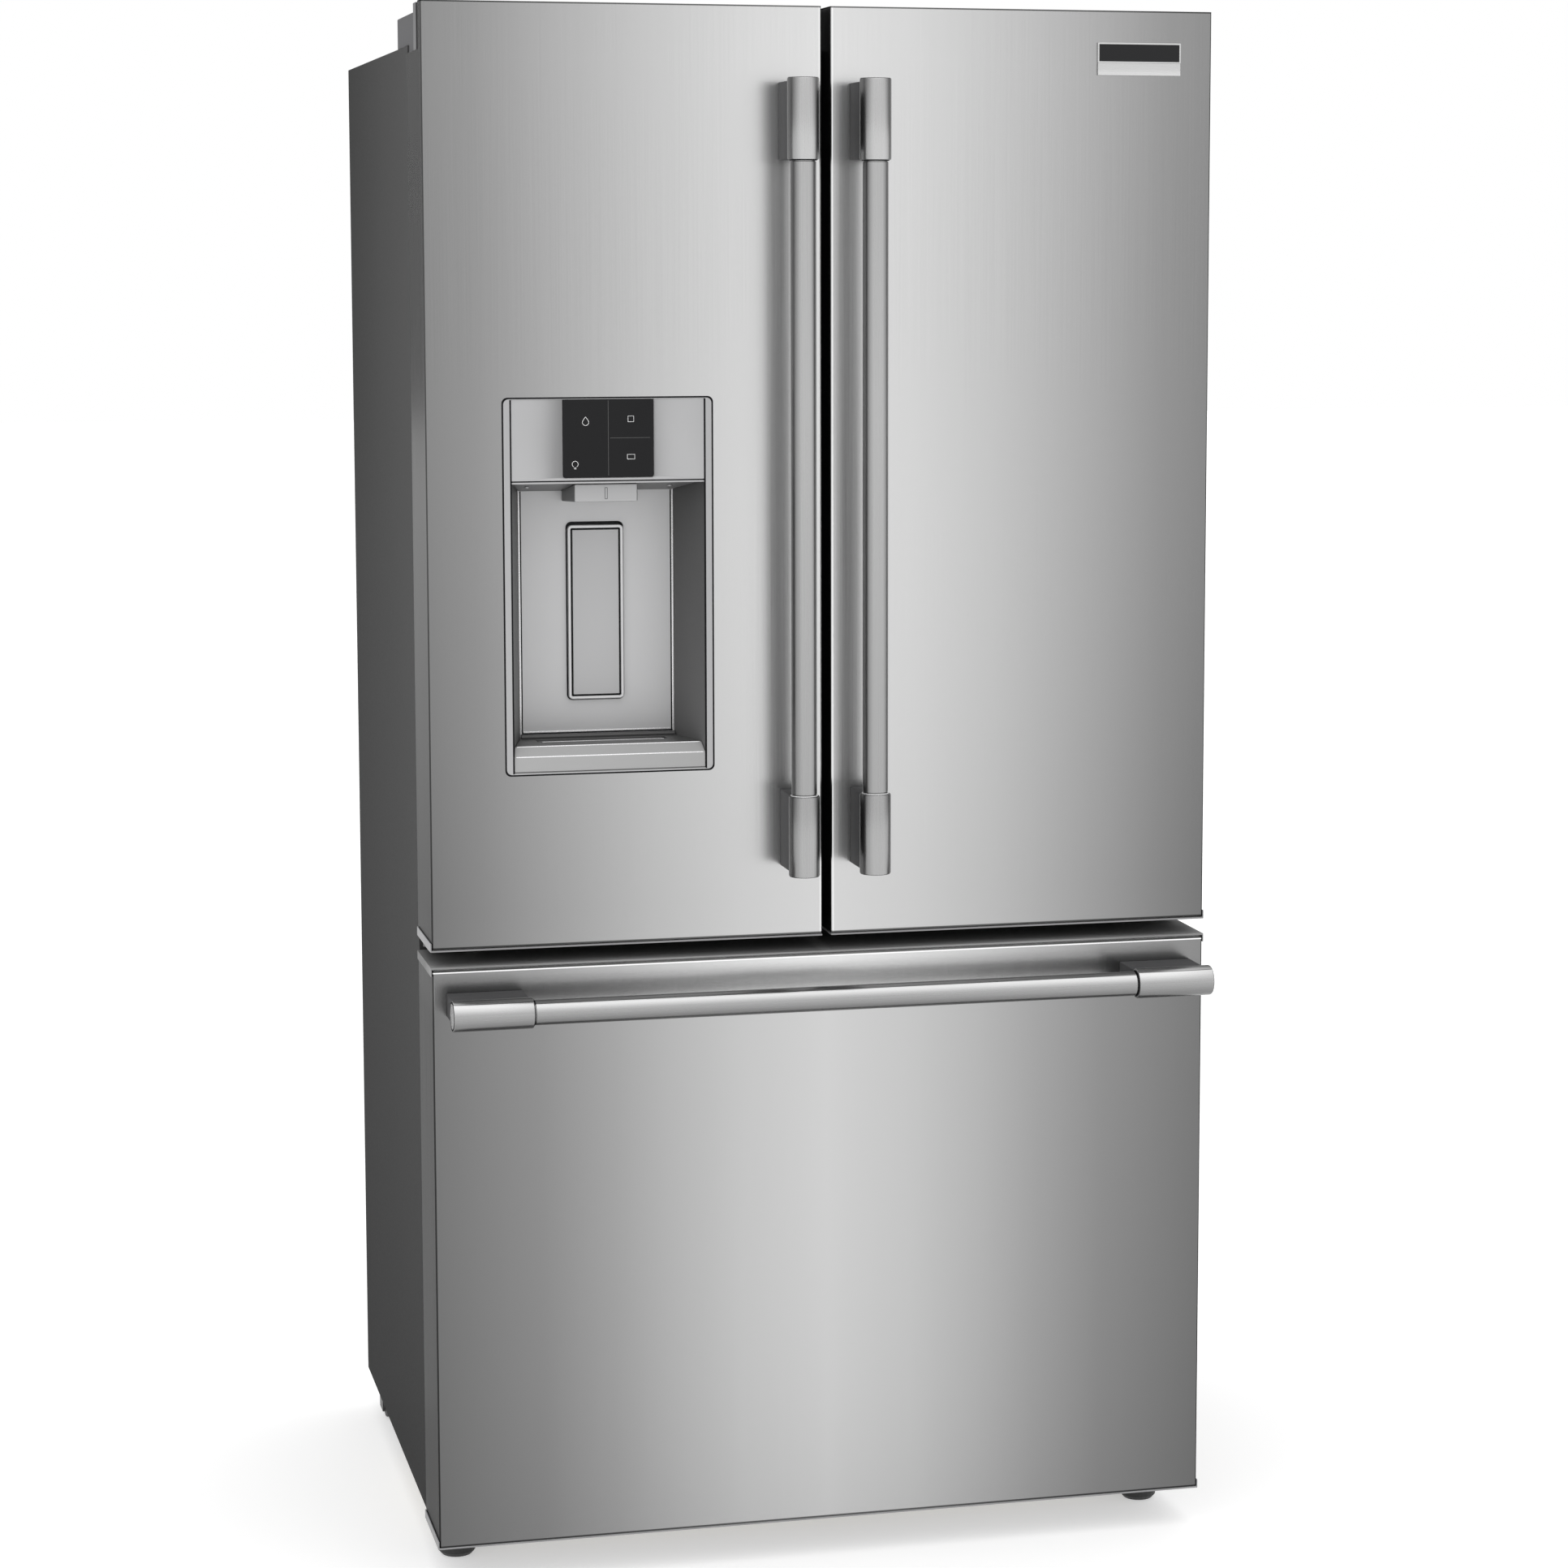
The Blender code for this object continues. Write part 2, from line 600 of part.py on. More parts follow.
# ---- doors and drawer --------------------------------------------------------------------------
def end_cap(name, x, z, flange_z, flanges):
    """A plastic plate across the end of a door or the drawer, flanged outside the steel."""
    cap = block(name, x, (GAP, FRONT_REAR), z, CAP_GREY)
    for side in flanges:
        join(cap, block(f"{name}_flange_{side}", across(side, HALF_FRONT + GAP,
                                                         HALF_FRONT + CAP_PROUD),
                        (GAP, FRONT_REAR), flange_z))
    return cap


def pin_hole(name, side, low, high):
    """A hole for a hinge pin."""
    return rod(name, point(side * PIVOT_X, PIVOT_D, low), point(side * PIVOT_X, PIVOT_D, high),
               PIN_HOLE)


def hinge_corner(name, side):
    """The notch at a door's top outer rear corner, which the hinge cover fills."""
    return block(name, across(side, NOTCH_X, HALF_FRONT + 0.01), (NOTCH_D, FRONT_REAR + 0.01),
                 (NOTCH_Z, SKIN_TOP + 0.01))


def door_limits(side, inset=0.0):
    """The x limits of one door, drawn in by an inset."""
    return across(side, INNER_EDGE + inset, HALF_FRONT - inset)


def build_door_shell(name, side, dyke):
    """Skin, foamed body with its liner ring, bottom cap and gasket of one door."""
    skin = folded_skin(f"{name}_door_skin", door_limits(side), (SKIN_BOTTOM, SKIN_TOP), STEEL)
    cut(skin, block(f"{name}_return_cut", across(side, HALF_FRONT - 0.004, HALF_FRONT + 0.01),
                    (RETURN_D, FRONT_REAR + 0.01), (NOTCH_Z, SKIN_TOP + 0.01)))
    body = block(f"{name}_door_body", door_limits(side, SHEET + GAP), (SHEET + GAP, FRONT_REAR),
                 (DOOR_CAP[1] + GAP, SKIN_TOP - 0.0005), WHITE_PLASTIC, round_axis=2, radius=0.002)
    cut(body, hinge_corner(f"{name}_notch", side))
    cut(body, block(f"{name}_groove", across(side, HALF_FRONT - GROOVE_WIDTH, HALF_FRONT + 0.01),
                    GROOVE_D, (NOTCH_Z, SKIN_TOP + 0.01)))
    cut(body, block(f"{name}_reveal", across(side, 0, HALF_FRONT + 0.01), (-0.01, REVEAL_D),
                    (DOOR_CAP[0] - 0.01, SKIN_BOTTOM)))
    join(body, frame(f"{name}_dyke", dyke, (FRONT_REAR - 0.002, DYKE_D), DYKE_Z, DYKE_WIDTH))
    cut(body, pin_hole(f"{name}_top_hole", side, 1.711, NOTCH_Z + 0.01))
    cut(body, pin_hole(f"{name}_bottom_hole", side, DOOR_CAP[0] - 0.01, 0.7535))
    cap = end_cap(f"{name}_door_bottom_cap", across(side, INNER_EDGE, HALF_FRONT + CAP_PROUD),
                  DOOR_CAP, (DOOR_CAP[0], DOOR_CAP[0] + CAP_FLANGE), [side])
    cut(cap, pin_hole(f"{name}_cap_hole", side, DOOR_CAP[0] - 0.01, DOOR_CAP[1] + 0.01))
    frame(f"{name}_door_gasket", across(side, GASKET_INNER, GASKET_OUTER), GASKET_D,
          DOOR_GASKET_Z, GASKET_WIDTH, GASKET_GREY)
    return skin, body


def build_door_handle(name, side):
    """Upright tube between two end mounts, each carried by a bracket on the door."""
    x = side * HANDLE_SPREAD
    tube(f"{name}_handle_bar", point(x, -DOOR_STANDOFF, DOOR_MOUNTS["bottom"][1] + GAP),
         point(x, -DOOR_STANDOFF, DOOR_MOUNTS["top"][0] - GAP), DOOR_TUBE_RADIUS, HANDLE_STEEL)
    for end, z in DOOR_MOUNTS.items():
        mount = rod(f"{name}_handle_{end}_mount", point(x, -DOOR_STANDOFF, z[0]),
                    point(x, -DOOR_STANDOFF, z[1]), DOOR_MOUNT_RADIUS, HANDLE_STEEL, segments=32)
        bracket_z = (z[0] + 0.001, z[1] - BRACKET_INSET)
        if end == "bottom":
            bracket_z = (z[0] + BRACKET_INSET, z[1] - 0.001)
        join(mount, block(f"{name}_{end}_bracket", (x - BRACKET_HALF, x + BRACKET_HALF),
                          (-DOOR_STANDOFF, -GAP), bracket_z))


def build_doors():
    """Both doors, their handles and bins."""
    left_skin, left_body = build_door_shell("left", LEFT, LEFT_DYKE)
    build_door_shell("right", RIGHT, RIGHT_DYKE)
    for name, side in SIDES.items():
        build_door_handle(name, side)
    shelf_gap = DYKE_WIDTH + GAP
    left_bin = (LEFT_DYKE[0] + shelf_gap, LEFT_DYKE[1] - shelf_gap)
    right_bin = (RIGHT_DYKE[0] + shelf_gap, RIGHT_DYKE[1] - shelf_gap)
    bin_d = (FRONT_REAR + GAP, BIN_D)
    tub("left_door_bin", left_bin, bin_d, (1.510, 1.625), BIN_WALL, CLEAR_PLASTIC)
    tub("right_door_upper_bin", right_bin, bin_d, (1.440, 1.555), BIN_WALL, CLEAR_PLASTIC)
    tub("right_door_lower_bin", right_bin, bin_d, (1.100, 1.225), BIN_WALL, CLEAR_PLASTIC)
    block("badge", (0.3162, 0.4150), (-0.0028, -GAP), (1.7084, 1.7450), SILVER_PLASTIC)
    build_flipper(left_body)
    build_dispenser(left_skin, left_body)


def build_flipper(body):
    """Bar that closes the gap behind the doors, on two pins of the left door's liner."""
    z = (0.7850, 1.6650)
    bar = block("flipper_mullion", (-0.0450, 0.0), (0.1262, 0.1420), z, WHITE_PLASTIC)
    for end, inner, way in (("low", z[0], -1), ("high", z[1], 1)):
        axis = [point(FLIPPER_X, FLIPPER_D, inner + way * step) for step in (0.0055, -0.010)]
        cut(bar, rod(f"flipper_{end}_socket", point(FLIPPER_X, FLIPPER_D, inner + way * 0.01),
                     point(FLIPPER_X, FLIPPER_D, inner - way * 0.012), FLIPPER_PIN + 0.001))
        bracket = tuple(sorted((inner + way * 0.0005, inner + way * 0.0105)))
        join(body, block(f"flipper_{end}_bracket", (-0.0620, -0.0385),
                         (FRONT_REAR - 0.001, 0.1370), bracket))
        join(body, rod(f"flipper_{end}_pin", axis[0], axis[1], FLIPPER_PIN))


# ---- dispenser ---------------------------------------------------------------------------------
def bay(half, grow=0.0):
    """X limits centred on the dispenser."""
    return (BAY_X - half - grow, BAY_X + half + grow)


def build_dispenser(skin, body):
    """Recessed ice and water dispenser of the left door."""
    clear = 0.0006
    window_z = (BEZEL_Z[0] - clear, BEZEL_Z[1] + clear)
    cut(skin, block("bezel_window", bay(BEZEL_HALF, clear), (-0.01, 0.01), window_z,
                    round_axis=1, radius=0.006))
    join(body, block("liner_bulge", BULGE_X, (FRONT_REAR - 0.002, BULGE_D), BULGE_Z))
    cut(body, block("bezel_room", bay(BEZEL_HALF, clear), (-0.01, BEZEL_THICK + GAP), window_z,
                    round_axis=1, radius=0.006))
    cut(body, block("housing_room", bay(HOUSING_HALF, GAP), (-0.01, HOUSING_REAR + GAP),
                    (HOUSING_Z[0] - GAP, window_z[1])))
    build_housing()
    build_fascia()
    build_spout()
    build_paddle()
    build_tray()


def build_housing():
    """Bezel and the recess with splayed side walls, a sloping ceiling and the paddle's pocket."""
    housing = block("dispenser_housing", bay(BEZEL_HALF), (-BEZEL_PROUD, BEZEL_THICK), BEZEL_Z,
                    SILVER_PLASTIC, round_axis=1, radius=0.006)
    join(housing, block("housing_box", bay(HOUSING_HALF), (BEZEL_THICK - 0.001, HOUSING_REAR),
                        HOUSING_Z))
    cut(housing, tapered("recess", (-0.002, bay(BAY_HALF), (BAY_FLOOR, BAY_CEILING[0])),
                         (BAY_REAR, bay(BAY_REAR_HALF), (BAY_FLOOR, BAY_CEILING[1]))))
    cut(housing, block("fascia_room", bay(BAY_HALF), (-0.01, FASCIA_REAR + GAP),
                       (FASCIA_Z[0] - GAP, FASCIA_Z[1] + 0.01)))
    pocket = (PADDLE_X[0] - 0.003, PADDLE_X[1] + 0.003)
    cut(housing, block("paddle_pocket", pocket, (BAY_REAR - 0.005, 0.1065),
                       (PADDLE_Z[0] - 0.001, PADDLE_Z[1] + 0.003)))
    cut(housing, rod("paddle_socket", point(pocket[0] - 0.0030, PADDLE_PIVOT_D, PADDLE_PIVOT_Z),
                     point(pocket[1] + 0.0030, PADDLE_PIVOT_D, PADDLE_PIVOT_Z),
                     PADDLE_PIN + 0.001))


def build_fascia():
    """Silver panel above the recess, with the black touch display let into it."""
    fascia = block("dispenser_fascia", bay(BAY_HALF, -GAP), (0.0, FASCIA_REAR), FASCIA_Z,
                   SILVER_PLASTIC)
    cut(fascia, block("display_room", (DISPLAY_X[0] - GAP, DISPLAY_X[1] + GAP), (-0.01, 0.0028),
                      (DISPLAY_Z[0] - GAP, DISPLAY_Z[1] + 0.01)))
    block("dispenser_display", DISPLAY_X, (-0.0005, 0.0025), DISPLAY_Z, BLACK_GLASS)


def build_spout():
    """Spout housing under the recess's ceiling, open below for the ice."""
    spout = tapered("dispenser_spout", (0.020, SPOUT_X, (1.2320, 1.2526)),
                    (BAY_REAR - GAP, (SPOUT_X[0] - 0.004, SPOUT_X[1] + 0.004), (1.2290, 1.2416)),
                    SILVER_PLASTIC)
    cut(spout, block("ice_outlet", (-0.2700, -0.2266), (0.036, 0.074), (1.220, 1.2380)))


def build_paddle():
    """Paddle on its pivot pin, the mesh built about the pivot's axis."""
    middle = sum(PADDLE_X) / 2
    pivot = point(middle, PADDLE_PIVOT_D, PADDLE_PIVOT_Z)
    paddle = block("dispenser_paddle", PADDLE_X, PADDLE_D, PADDLE_Z, SILVER_PLASTIC,
                   round_axis=1, radius=0.005)
    join(paddle, block("paddle_head", (PADDLE_X[0] + 0.002, PADDLE_X[1] - 0.002),
                       (PADDLE_D[1] - 0.001, PADDLE_PIVOT_D + 0.0030),
                       (PADDLE_PIVOT_Z - 0.006, PADDLE_PIVOT_Z + 0.004)))
    reach = Vector((0.0370, 0, 0))
    join(paddle, rod("paddle_pin", pivot - reach, pivot + reach, PADDLE_PIN))
    move_origin(paddle, pivot)


def build_tray():
    """Drip tray that fills the recess's floor, with a chamfered lip and a shallow well."""
    tray = tapered("drip_tray", (0.0005, bay(BAY_HALF, -0.0010), (BAY_FLOOR + GAP, TRAY_TOP)),
                   (BAY_REAR - GAP, bay(BAY_REAR_HALF, -0.0004), (BAY_FLOOR + GAP, TRAY_TOP)),
                   SILVER_PLASTIC, chamfer=0.0105)
    cut(tray, block("tray_well", bay(0.072), (0.050, 0.070), (TRAY_TOP - 0.004, TRAY_TOP + 0.01),
                    round_axis=2, radius=0.004))


# ---- freezer drawer ----------------------------------------------------------------------------
def build_drawer_front():
    """Drawer front: skin, foamed body, both end caps, gasket and handle."""
    folded_skin("drawer_skin", (-HALF_FRONT, HALF_FRONT), (DRAWER_SKIN_BOTTOM, DRAWER_SKIN_TOP),
                STEEL)
    side = HALF_FRONT - SHEET - GAP
    body = block("drawer_body", (-side, side), (SHEET + GAP, FRONT_REAR),
                 (DRAWER_BOTTOM_CAP[1] + GAP, DRAWER_TOP_CAP[0] - GAP), WHITE_PLASTIC,
                 round_axis=2, radius=0.002)
    cut(body, block("drawer_reveal", (-HALF_FRONT, HALF_FRONT), (-0.01, REVEAL_D),
                    (DRAWER_SKIN_TOP, DRAWER_TOP_CAP[0] + 0.01)))
    edge = HALF_FRONT + CAP_PROUD
    end_cap("drawer_top_cap", (-edge, edge), DRAWER_TOP_CAP,
            (DRAWER_TOP_CAP[1] - CAP_FLANGE, DRAWER_TOP_CAP[1]), (LEFT, RIGHT))
    end_cap("drawer_bottom_cap", (-edge, edge), DRAWER_BOTTOM_CAP,
            (DRAWER_BOTTOM_CAP[0], DRAWER_BOTTOM_CAP[0] + CAP_FLANGE), (LEFT, RIGHT))
    frame("drawer_gasket", (-GASKET_OUTER, GASKET_OUTER), GASKET_D, DRAWER_GASKET_Z, GASKET_WIDTH,
          GASKET_GREY)
    build_drawer_handle()


def build_drawer_handle():
    """Level tube between two end mounts."""
    reach = DRAWER_MOUNT_X[0] - GAP
    tube("drawer_handle_bar", point(-reach, -DRAWER_STANDOFF, DRAWER_HANDLE_Z),
         point(reach, -DRAWER_STANDOFF, DRAWER_HANDLE_Z), DRAWER_TUBE_RADIUS, HANDLE_STEEL)
    for name, side in SIDES.items():
        ends = [point(side * x, -DRAWER_STANDOFF, DRAWER_HANDLE_Z) for x in DRAWER_MOUNT_X]
        mount = rod(f"drawer_{name}_mount", ends[0], ends[1], DRAWER_MOUNT_RADIUS, HANDLE_STEEL,
                    segments=32)
        bracket = across(side, DRAWER_MOUNT_X[0] + 0.001, DRAWER_MOUNT_X[1] - BRACKET_INSET)
        join(mount, block(f"drawer_{name}_bracket", bracket, (-DRAWER_STANDOFF, -GAP),
                          (DRAWER_HANDLE_Z - BRACKET_HALF, DRAWER_HANDLE_Z + BRACKET_HALF)))


def build_drawer_inside():
    """Slides on the drawer's rear, the deep lower basket and the upper basket that follows."""
    for name, side in SIDES.items():
        block(f"{name}_drawer_slide", across(side, 0.378, 0.392), (FRONT_REAR + GAP, 0.620),
              (0.3555, 0.3850), ZINC)
    lower = tub("lower_basket", (-0.3745, 0.3745), (0.135, 0.412), (0.112, 0.3885), 0.0025,
                WHITE_PLASTIC)
    for name, side in SIDES.items():
        join(lower, block(f"{name}_rim", across(side, 0.3730, 0.3910), (0.150, 0.397),
                          (0.3856, 0.3885)))
    tub("upper_basket", (-0.3840, 0.3840), (0.150, 0.600), (0.425, 0.560), 0.0025, WHITE_PLASTIC)


def main():
    clear_scene()
    build_case()
    build_insulation()
    build_fridge_liner()
    build_freezer_liner()
    build_rear_cover()
    build_base_frame()
    build_feet_and_rollers()
    build_compressor()
    build_top_hinges()
    build_centre_hinges()
    build_fridge_inside()
    build_doors()
    build_drawer_front()
    build_drawer_inside()


main()
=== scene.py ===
"""Looks of the french door refrigerator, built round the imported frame.

Metres, +Z up, fronts face -Y. Every place comes from the frame's boxes.
"""
import math

import bmesh
import bpy
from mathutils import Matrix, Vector


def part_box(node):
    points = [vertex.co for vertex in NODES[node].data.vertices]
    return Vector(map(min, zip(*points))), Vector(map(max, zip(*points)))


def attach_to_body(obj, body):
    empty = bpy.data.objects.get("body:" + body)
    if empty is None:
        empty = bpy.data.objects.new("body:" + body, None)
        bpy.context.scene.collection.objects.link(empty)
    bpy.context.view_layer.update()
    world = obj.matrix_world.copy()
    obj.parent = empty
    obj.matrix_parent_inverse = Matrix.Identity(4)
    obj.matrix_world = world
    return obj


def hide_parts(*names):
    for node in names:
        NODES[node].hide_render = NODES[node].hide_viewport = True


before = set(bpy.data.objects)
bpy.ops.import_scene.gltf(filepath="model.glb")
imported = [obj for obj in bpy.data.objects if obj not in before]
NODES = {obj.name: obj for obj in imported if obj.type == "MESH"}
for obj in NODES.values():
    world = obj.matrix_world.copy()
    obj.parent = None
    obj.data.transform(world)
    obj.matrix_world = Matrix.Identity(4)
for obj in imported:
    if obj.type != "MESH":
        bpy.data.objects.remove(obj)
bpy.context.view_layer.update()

LEFT = -1
RIGHT = 1
SIDES = {"left": LEFT, "right": RIGHT}
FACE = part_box("left_door_skin")[0].y  # the plane of the door fronts


def spans(node):
    """A CAD node's limits at rest: (x0, x1), (y0, y1), (z0, z1)."""
    return tuple(zip(*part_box(node)))


def shrink(span, margin):
    """A span taken in by a margin at both ends."""
    return (span[0] + margin, span[1] - margin)


def inset(rect, margin):
    """A rectangle (x0, x1, z0, z1) taken in by a margin all round."""
    return (*shrink(rect[:2], margin), *shrink(rect[2:], margin))


def at(spot, *offsets):
    """A span given by the offsets of its two ends from a spot, in either order."""
    return tuple(sorted(spot + offset for offset in offsets))


def about(middle, half):
    """A span round a middle."""
    return at(middle, -half, half)


def link(name, data):
    """A new object in the scene."""
    obj = bpy.data.objects.new(name, data)
    bpy.context.collection.objects.link(obj)
    return obj


# ---- shader nodes ----
class Graph:
    """A node tree, with the kinds of node that the looks are made of."""

    noise_roughness = 0.6

    def __init__(self, tree):
        self.nodes = tree.nodes
        self.links = tree.links

    def put(self, socket, value):
        """Give a socket another node's output, a colour or a value."""
        if hasattr(value, "is_output"):
            self.links.new(value, socket)
        elif socket.type == "RGBA":
            socket.default_value = (*value, 1.0)
        else:
            socket.default_value = value

    def node(self, kind, inputs, **settings):
        """A new node with its settings and inputs."""
        node = self.nodes.new("ShaderNode" + kind)
        for setting, value in settings.items():
            setattr(node, setting, value)
        for socket, value in inputs.items():
            self.put(node.inputs[socket], value)
        return node

    def coords(self, kind):
        """One of the piece's own coordinates: Object, Normal or Generated."""
        return self.node("TexCoord", {}).outputs[kind]

    def axis(self, vector, name):
        """The X, Y or Z of a vector."""
        return self.node("SeparateXYZ", {0: vector}).outputs[name]

    def map(self, source, span, out=(0.0, 1.0)):
        """A value mapped from one span to another, clamped."""
        inputs = {"Value": source, "From Min": span[0], "From Max": span[1],
                  "To Min": out[0], "To Max": out[1]}
        return self.node("MapRange", inputs).outputs["Result"]

    def ramp(self, source, stops):
        """A ramp of greys: stops are (position, level)."""
        node = self.node("ValToRGB", {"Fac": source})
        elements = node.color_ramp.elements
        for index, (position, level) in enumerate(stops):
            element = elements[index] if index < 2 else elements.new(position)
            element.position = position
            element.color = (level, level, level, 1.0)
        return node.outputs["Color"]

    def noise(self, scale, stretch=(1, 1, 1), detail=2):
        """Noise in the piece's own coordinates, stretched along its grain."""
        mapped = self.node("Mapping", {"Vector": self.coords("Object"), "Scale": stretch})
        inputs = {"Vector": mapped.outputs["Vector"], "Scale": scale, "Detail": detail,
                  "Roughness": self.noise_roughness}
        return self.node("TexNoise", inputs).outputs["Fac"]

    def mix(self, factor, first, second):
        """Two colours mixed by a factor."""
        inputs = {"Fac": factor, "Color1": first, "Color2": second}
        return self.node("MixRGB", inputs).outputs["Color"]

    def times(self, first, *others):
        """Colours multiplied one after another."""
        for other in others:
            inputs = {"Fac": 1.0, "Color1": first, "Color2": other}
            first = self.node("MixRGB", inputs, blend_type="MULTIPLY").outputs["Color"]
        return first


class Look(Graph):
    """A material and its Principled shader."""

    def __init__(self, name):
        self.mat = bpy.data.materials.new(name)
        self.mat.use_nodes = True
        super().__init__(self.mat.node_tree)
        self.shader = self.nodes["Principled BSDF"]

    def shade(self, **values):
        """Set inputs of the shader: a socket's name has _ for each space."""
        for name, value in values.items():
            self.put(self.shader.inputs[name.replace("_", " ")], value)

    def finish(self, grain, span, roughness, strength, depth):
        """Roughness and a bump that follow a grain."""
        bump = self.node("Bump", {"Strength": strength, "Distance": depth, "Height": grain})
        self.shade(Roughness=self.map(grain, span, roughness), Normal=bump.outputs["Normal"])
        return self.mat


# ---- materials ----
# Painted sheen across a front: (distance from the middle / half width, level high up, level low
# down), brightest in the middle and darker low down. A door's first two rows are those of its free
# edge's return, painted darker as shade, then comes its bright bend, a painted highlight. The last
# row is that of the side, with its own painted light.
DOOR_PAINTED_SHEEN = [(0.0, 0.40, 0.30), (0.0119, 0.40, 0.30), (0.0128, 0.74, 0.56), (0.0141, 0.97, 0.82),
             (0.0175, 0.97, 0.82), (0.0188, 0.74, 0.56), (0.22, 0.68, 0.51), (0.44, 0.57, 0.42),
             (0.66, 0.45, 0.31), (0.88, 0.32, 0.205), (0.998, 0.28, 0.16), (1.0, 0.78, 0.17)]
DRAWER_PAINTED_SHEEN = [(0.0, 0.54, 0.52), (0.22, 0.48, 0.46), (0.40, 0.40, 0.37), (0.55, 0.32, 0.285),
               (0.73, 0.24, 0.205), (0.998, 0.165, 0.14), (1.0, 0.155, 0.13)]
HALF_WIDTH = 0.45275
GRAIN = {"x": (3, 900, 900), "z": (900, 900, 3)}
PLAIN_GRAIN = (60, 60, 60)
STREAKS = (0.30, 0.70)  # the part of a noise that streaks are made from
SPECKS = (0.2, 0.8)  # the part of a noise that a fine grain is made from
BEND = 0.0013  # the bends round a front get painted dark lines of reflection this wide
# level of the painted dark reflection on a bend; CORNER paints it round the side corner
BEND_PAINTED_DARK = 0.22
CORNER = [(0.0, 1.0), (0.30, 1.0), (0.42, BEND_PAINTED_DARK), (0.85, BEND_PAINTED_DARK), (1.0, 1.0)]
LIFT = 1.35  # the strip over the drawer's handle is painted this much lighter, as painted light
GLINT = (0.0035, 0.0017)  # painted highlight between these distances under the drawer's top edge
GLINT_COLOUR = (0.92, 0.92, 0.92)
GLINT_FADE = [(0.0, 0.0), (0.3, 1.0), (0.8, 1.0), (1.0, 0.0)]


def stainless(name, fade, heights, ends, lift=None):
    """Brushed stainless sheet with a painted sheen that falls off from the middle of the front.

    heights are where fade's low and high levels hold, and ends are the sheet's own limits, along
    which painted dark lines of reflection run. lift is two heights between which the level is
    painted lighter, up to LIFT, under a painted highlight line along the top.
    """
    look = Look(name)
    own = look.coords("Object")
    z = look.axis(own, "Z")
    spread = look.node("Math", {0: look.axis(own, "X")}, operation="ABSOLUTE").outputs[0]
    share = look.map(spread, (0, HALF_WIDTH))
    # painted sheen: brightest in the middle of the front, darker towards the sides and low down
    sheen = look.mix(look.map(z, heights), look.ramp(share, [(row[0], row[2]) for row in fade]),
                     look.ramp(share, [row[:2] for row in fade]))
    streaks = look.noise(1.0, GRAIN["z"], 3)
    # painted dark reflections along the bends at the top and bottom and round the side corner
    top = look.map(z, (ends[1] - 1.5 * BEND, ends[1] - BEND), (1.0, BEND_PAINTED_DARK))
    bottom = look.map(z, (ends[0] + 1.5 * BEND, ends[0] + BEND), (1.0, BEND_PAINTED_DARK))
    corner = look.ramp(look.map(spread, (HALF_WIDTH - 2 * BEND, HALF_WIDTH)), CORNER)
    tone = look.ramp(streaks, [(STREAKS[0], 0.97), (STREAKS[1], 1.0)])
    base = look.times(sheen, tone, top, bottom, corner)
    # painted light over the drawer's handle, and a painted highlight line under the top edge
    if lift:
        base = look.times(base, look.map(z, lift, (1.0, LIFT)))
        band = look.map(z, (ends[1] - GLINT[0], ends[1] - GLINT[1]))
        base = look.mix(look.ramp(band, GLINT_FADE), base, GLINT_COLOUR)
    look.shade(Base_Color=base, Metallic=1.0, Anisotropic=0.4, Specular_Tint=(0.25, 0.25, 0.25))
    return look.finish(streaks, STREAKS, (0.20, 0.26), 0.04, 0.0001)


# Painted reflection and shade of a round handle against how far its surface faces the front
# (0 back, 1 front).
TUBE_PAINTED_LIGHT = [(0.0, 0.72), (0.32, 0.60), (0.42, 0.32), (0.50, 0.30), (0.60, 0.36), (0.75, 0.54),
             (0.90, 0.80), (0.965, 1.0)]
# An upright handle is painted darker low down, as painted shade.
LOW_TUBE = ((0.85, 1.35), (0.78, 1.0))  # an upright handle gets lighter between these heights
# Painted shade, highlight and a dark reflection line of a level handle, from its underside (0)
# to its top (1).
LEVEL_PAINTED_LIGHT = [(0.0, 0.20), (0.06, 0.30), (0.25, 0.38), (0.50, 0.54), (0.68, 0.88), (0.892, 0.88),
              (0.900, 0.14), (0.908, 0.14), (0.916, 0.55), (1.0, 0.45)]
# The back of a level handle is painted lighter, so that its reflection in the drawer is lighter.
BACK_LIFT = (0.10, 0.60)  # a level handle turns to BACK_LEVEL where it faces back between these
BACK_LEVEL = (1.4, 1.4, 1.4)
METAL_DRIFT = 0.03


def metal(name, level, roughness, grain=None, tube=None):
    """Plain or brushed metal; a tube (its axis x or z) gets painted shade round its sides."""
    look = Look(name)
    streaks = look.noise(1.0, GRAIN.get(grain, PLAIN_GRAIN), 3)
    tone = look.ramp(streaks, [(STREAKS[0], level - METAL_DRIFT), (STREAKS[1], level)])
    if tube == "z":
        facing = look.map(look.axis(look.coords("Normal"), "Y"), (1.0, -1.0))
        lower = look.map(look.axis(look.coords("Object"), "Z"), *LOW_TUBE)
        tone = look.times(tone, lower, look.ramp(facing, TUBE_PAINTED_LIGHT))
    elif tube == "x":
        normal = look.coords("Normal")
        fade = look.ramp(look.map(look.axis(normal, "Z"), (-1.0, 1.0)), LEVEL_PAINTED_LIGHT)
        behind = look.map(look.axis(normal, "Y"), BACK_LIFT)
        tone = look.times(tone, look.mix(behind, fade, BACK_LEVEL))
    look.shade(Base_Color=tone, Metallic=1.0)
    return look.finish(streaks, STREAKS, at(roughness, 0, 0.06), 0.04, 0.0001)


def moulded(name, colour, roughness=0.45, grain=900.0, strength=0.12, metallic=0.0, vary=0.06,
            gloss=0.5):
    """Moulded or painted plastic with a fine grain and a little drift in tone."""
    look = Look(name)
    dark = tuple(channel * (1 - vary) for channel in colour)
    look.shade(Base_Color=look.mix(look.noise(6.0), dark, colour), Metallic=metallic,
               Specular_IOR_Level=gloss)
    return look.finish(look.noise(grain), SPECKS, at(roughness, -0.04, 0.06), strength, 0.0002)


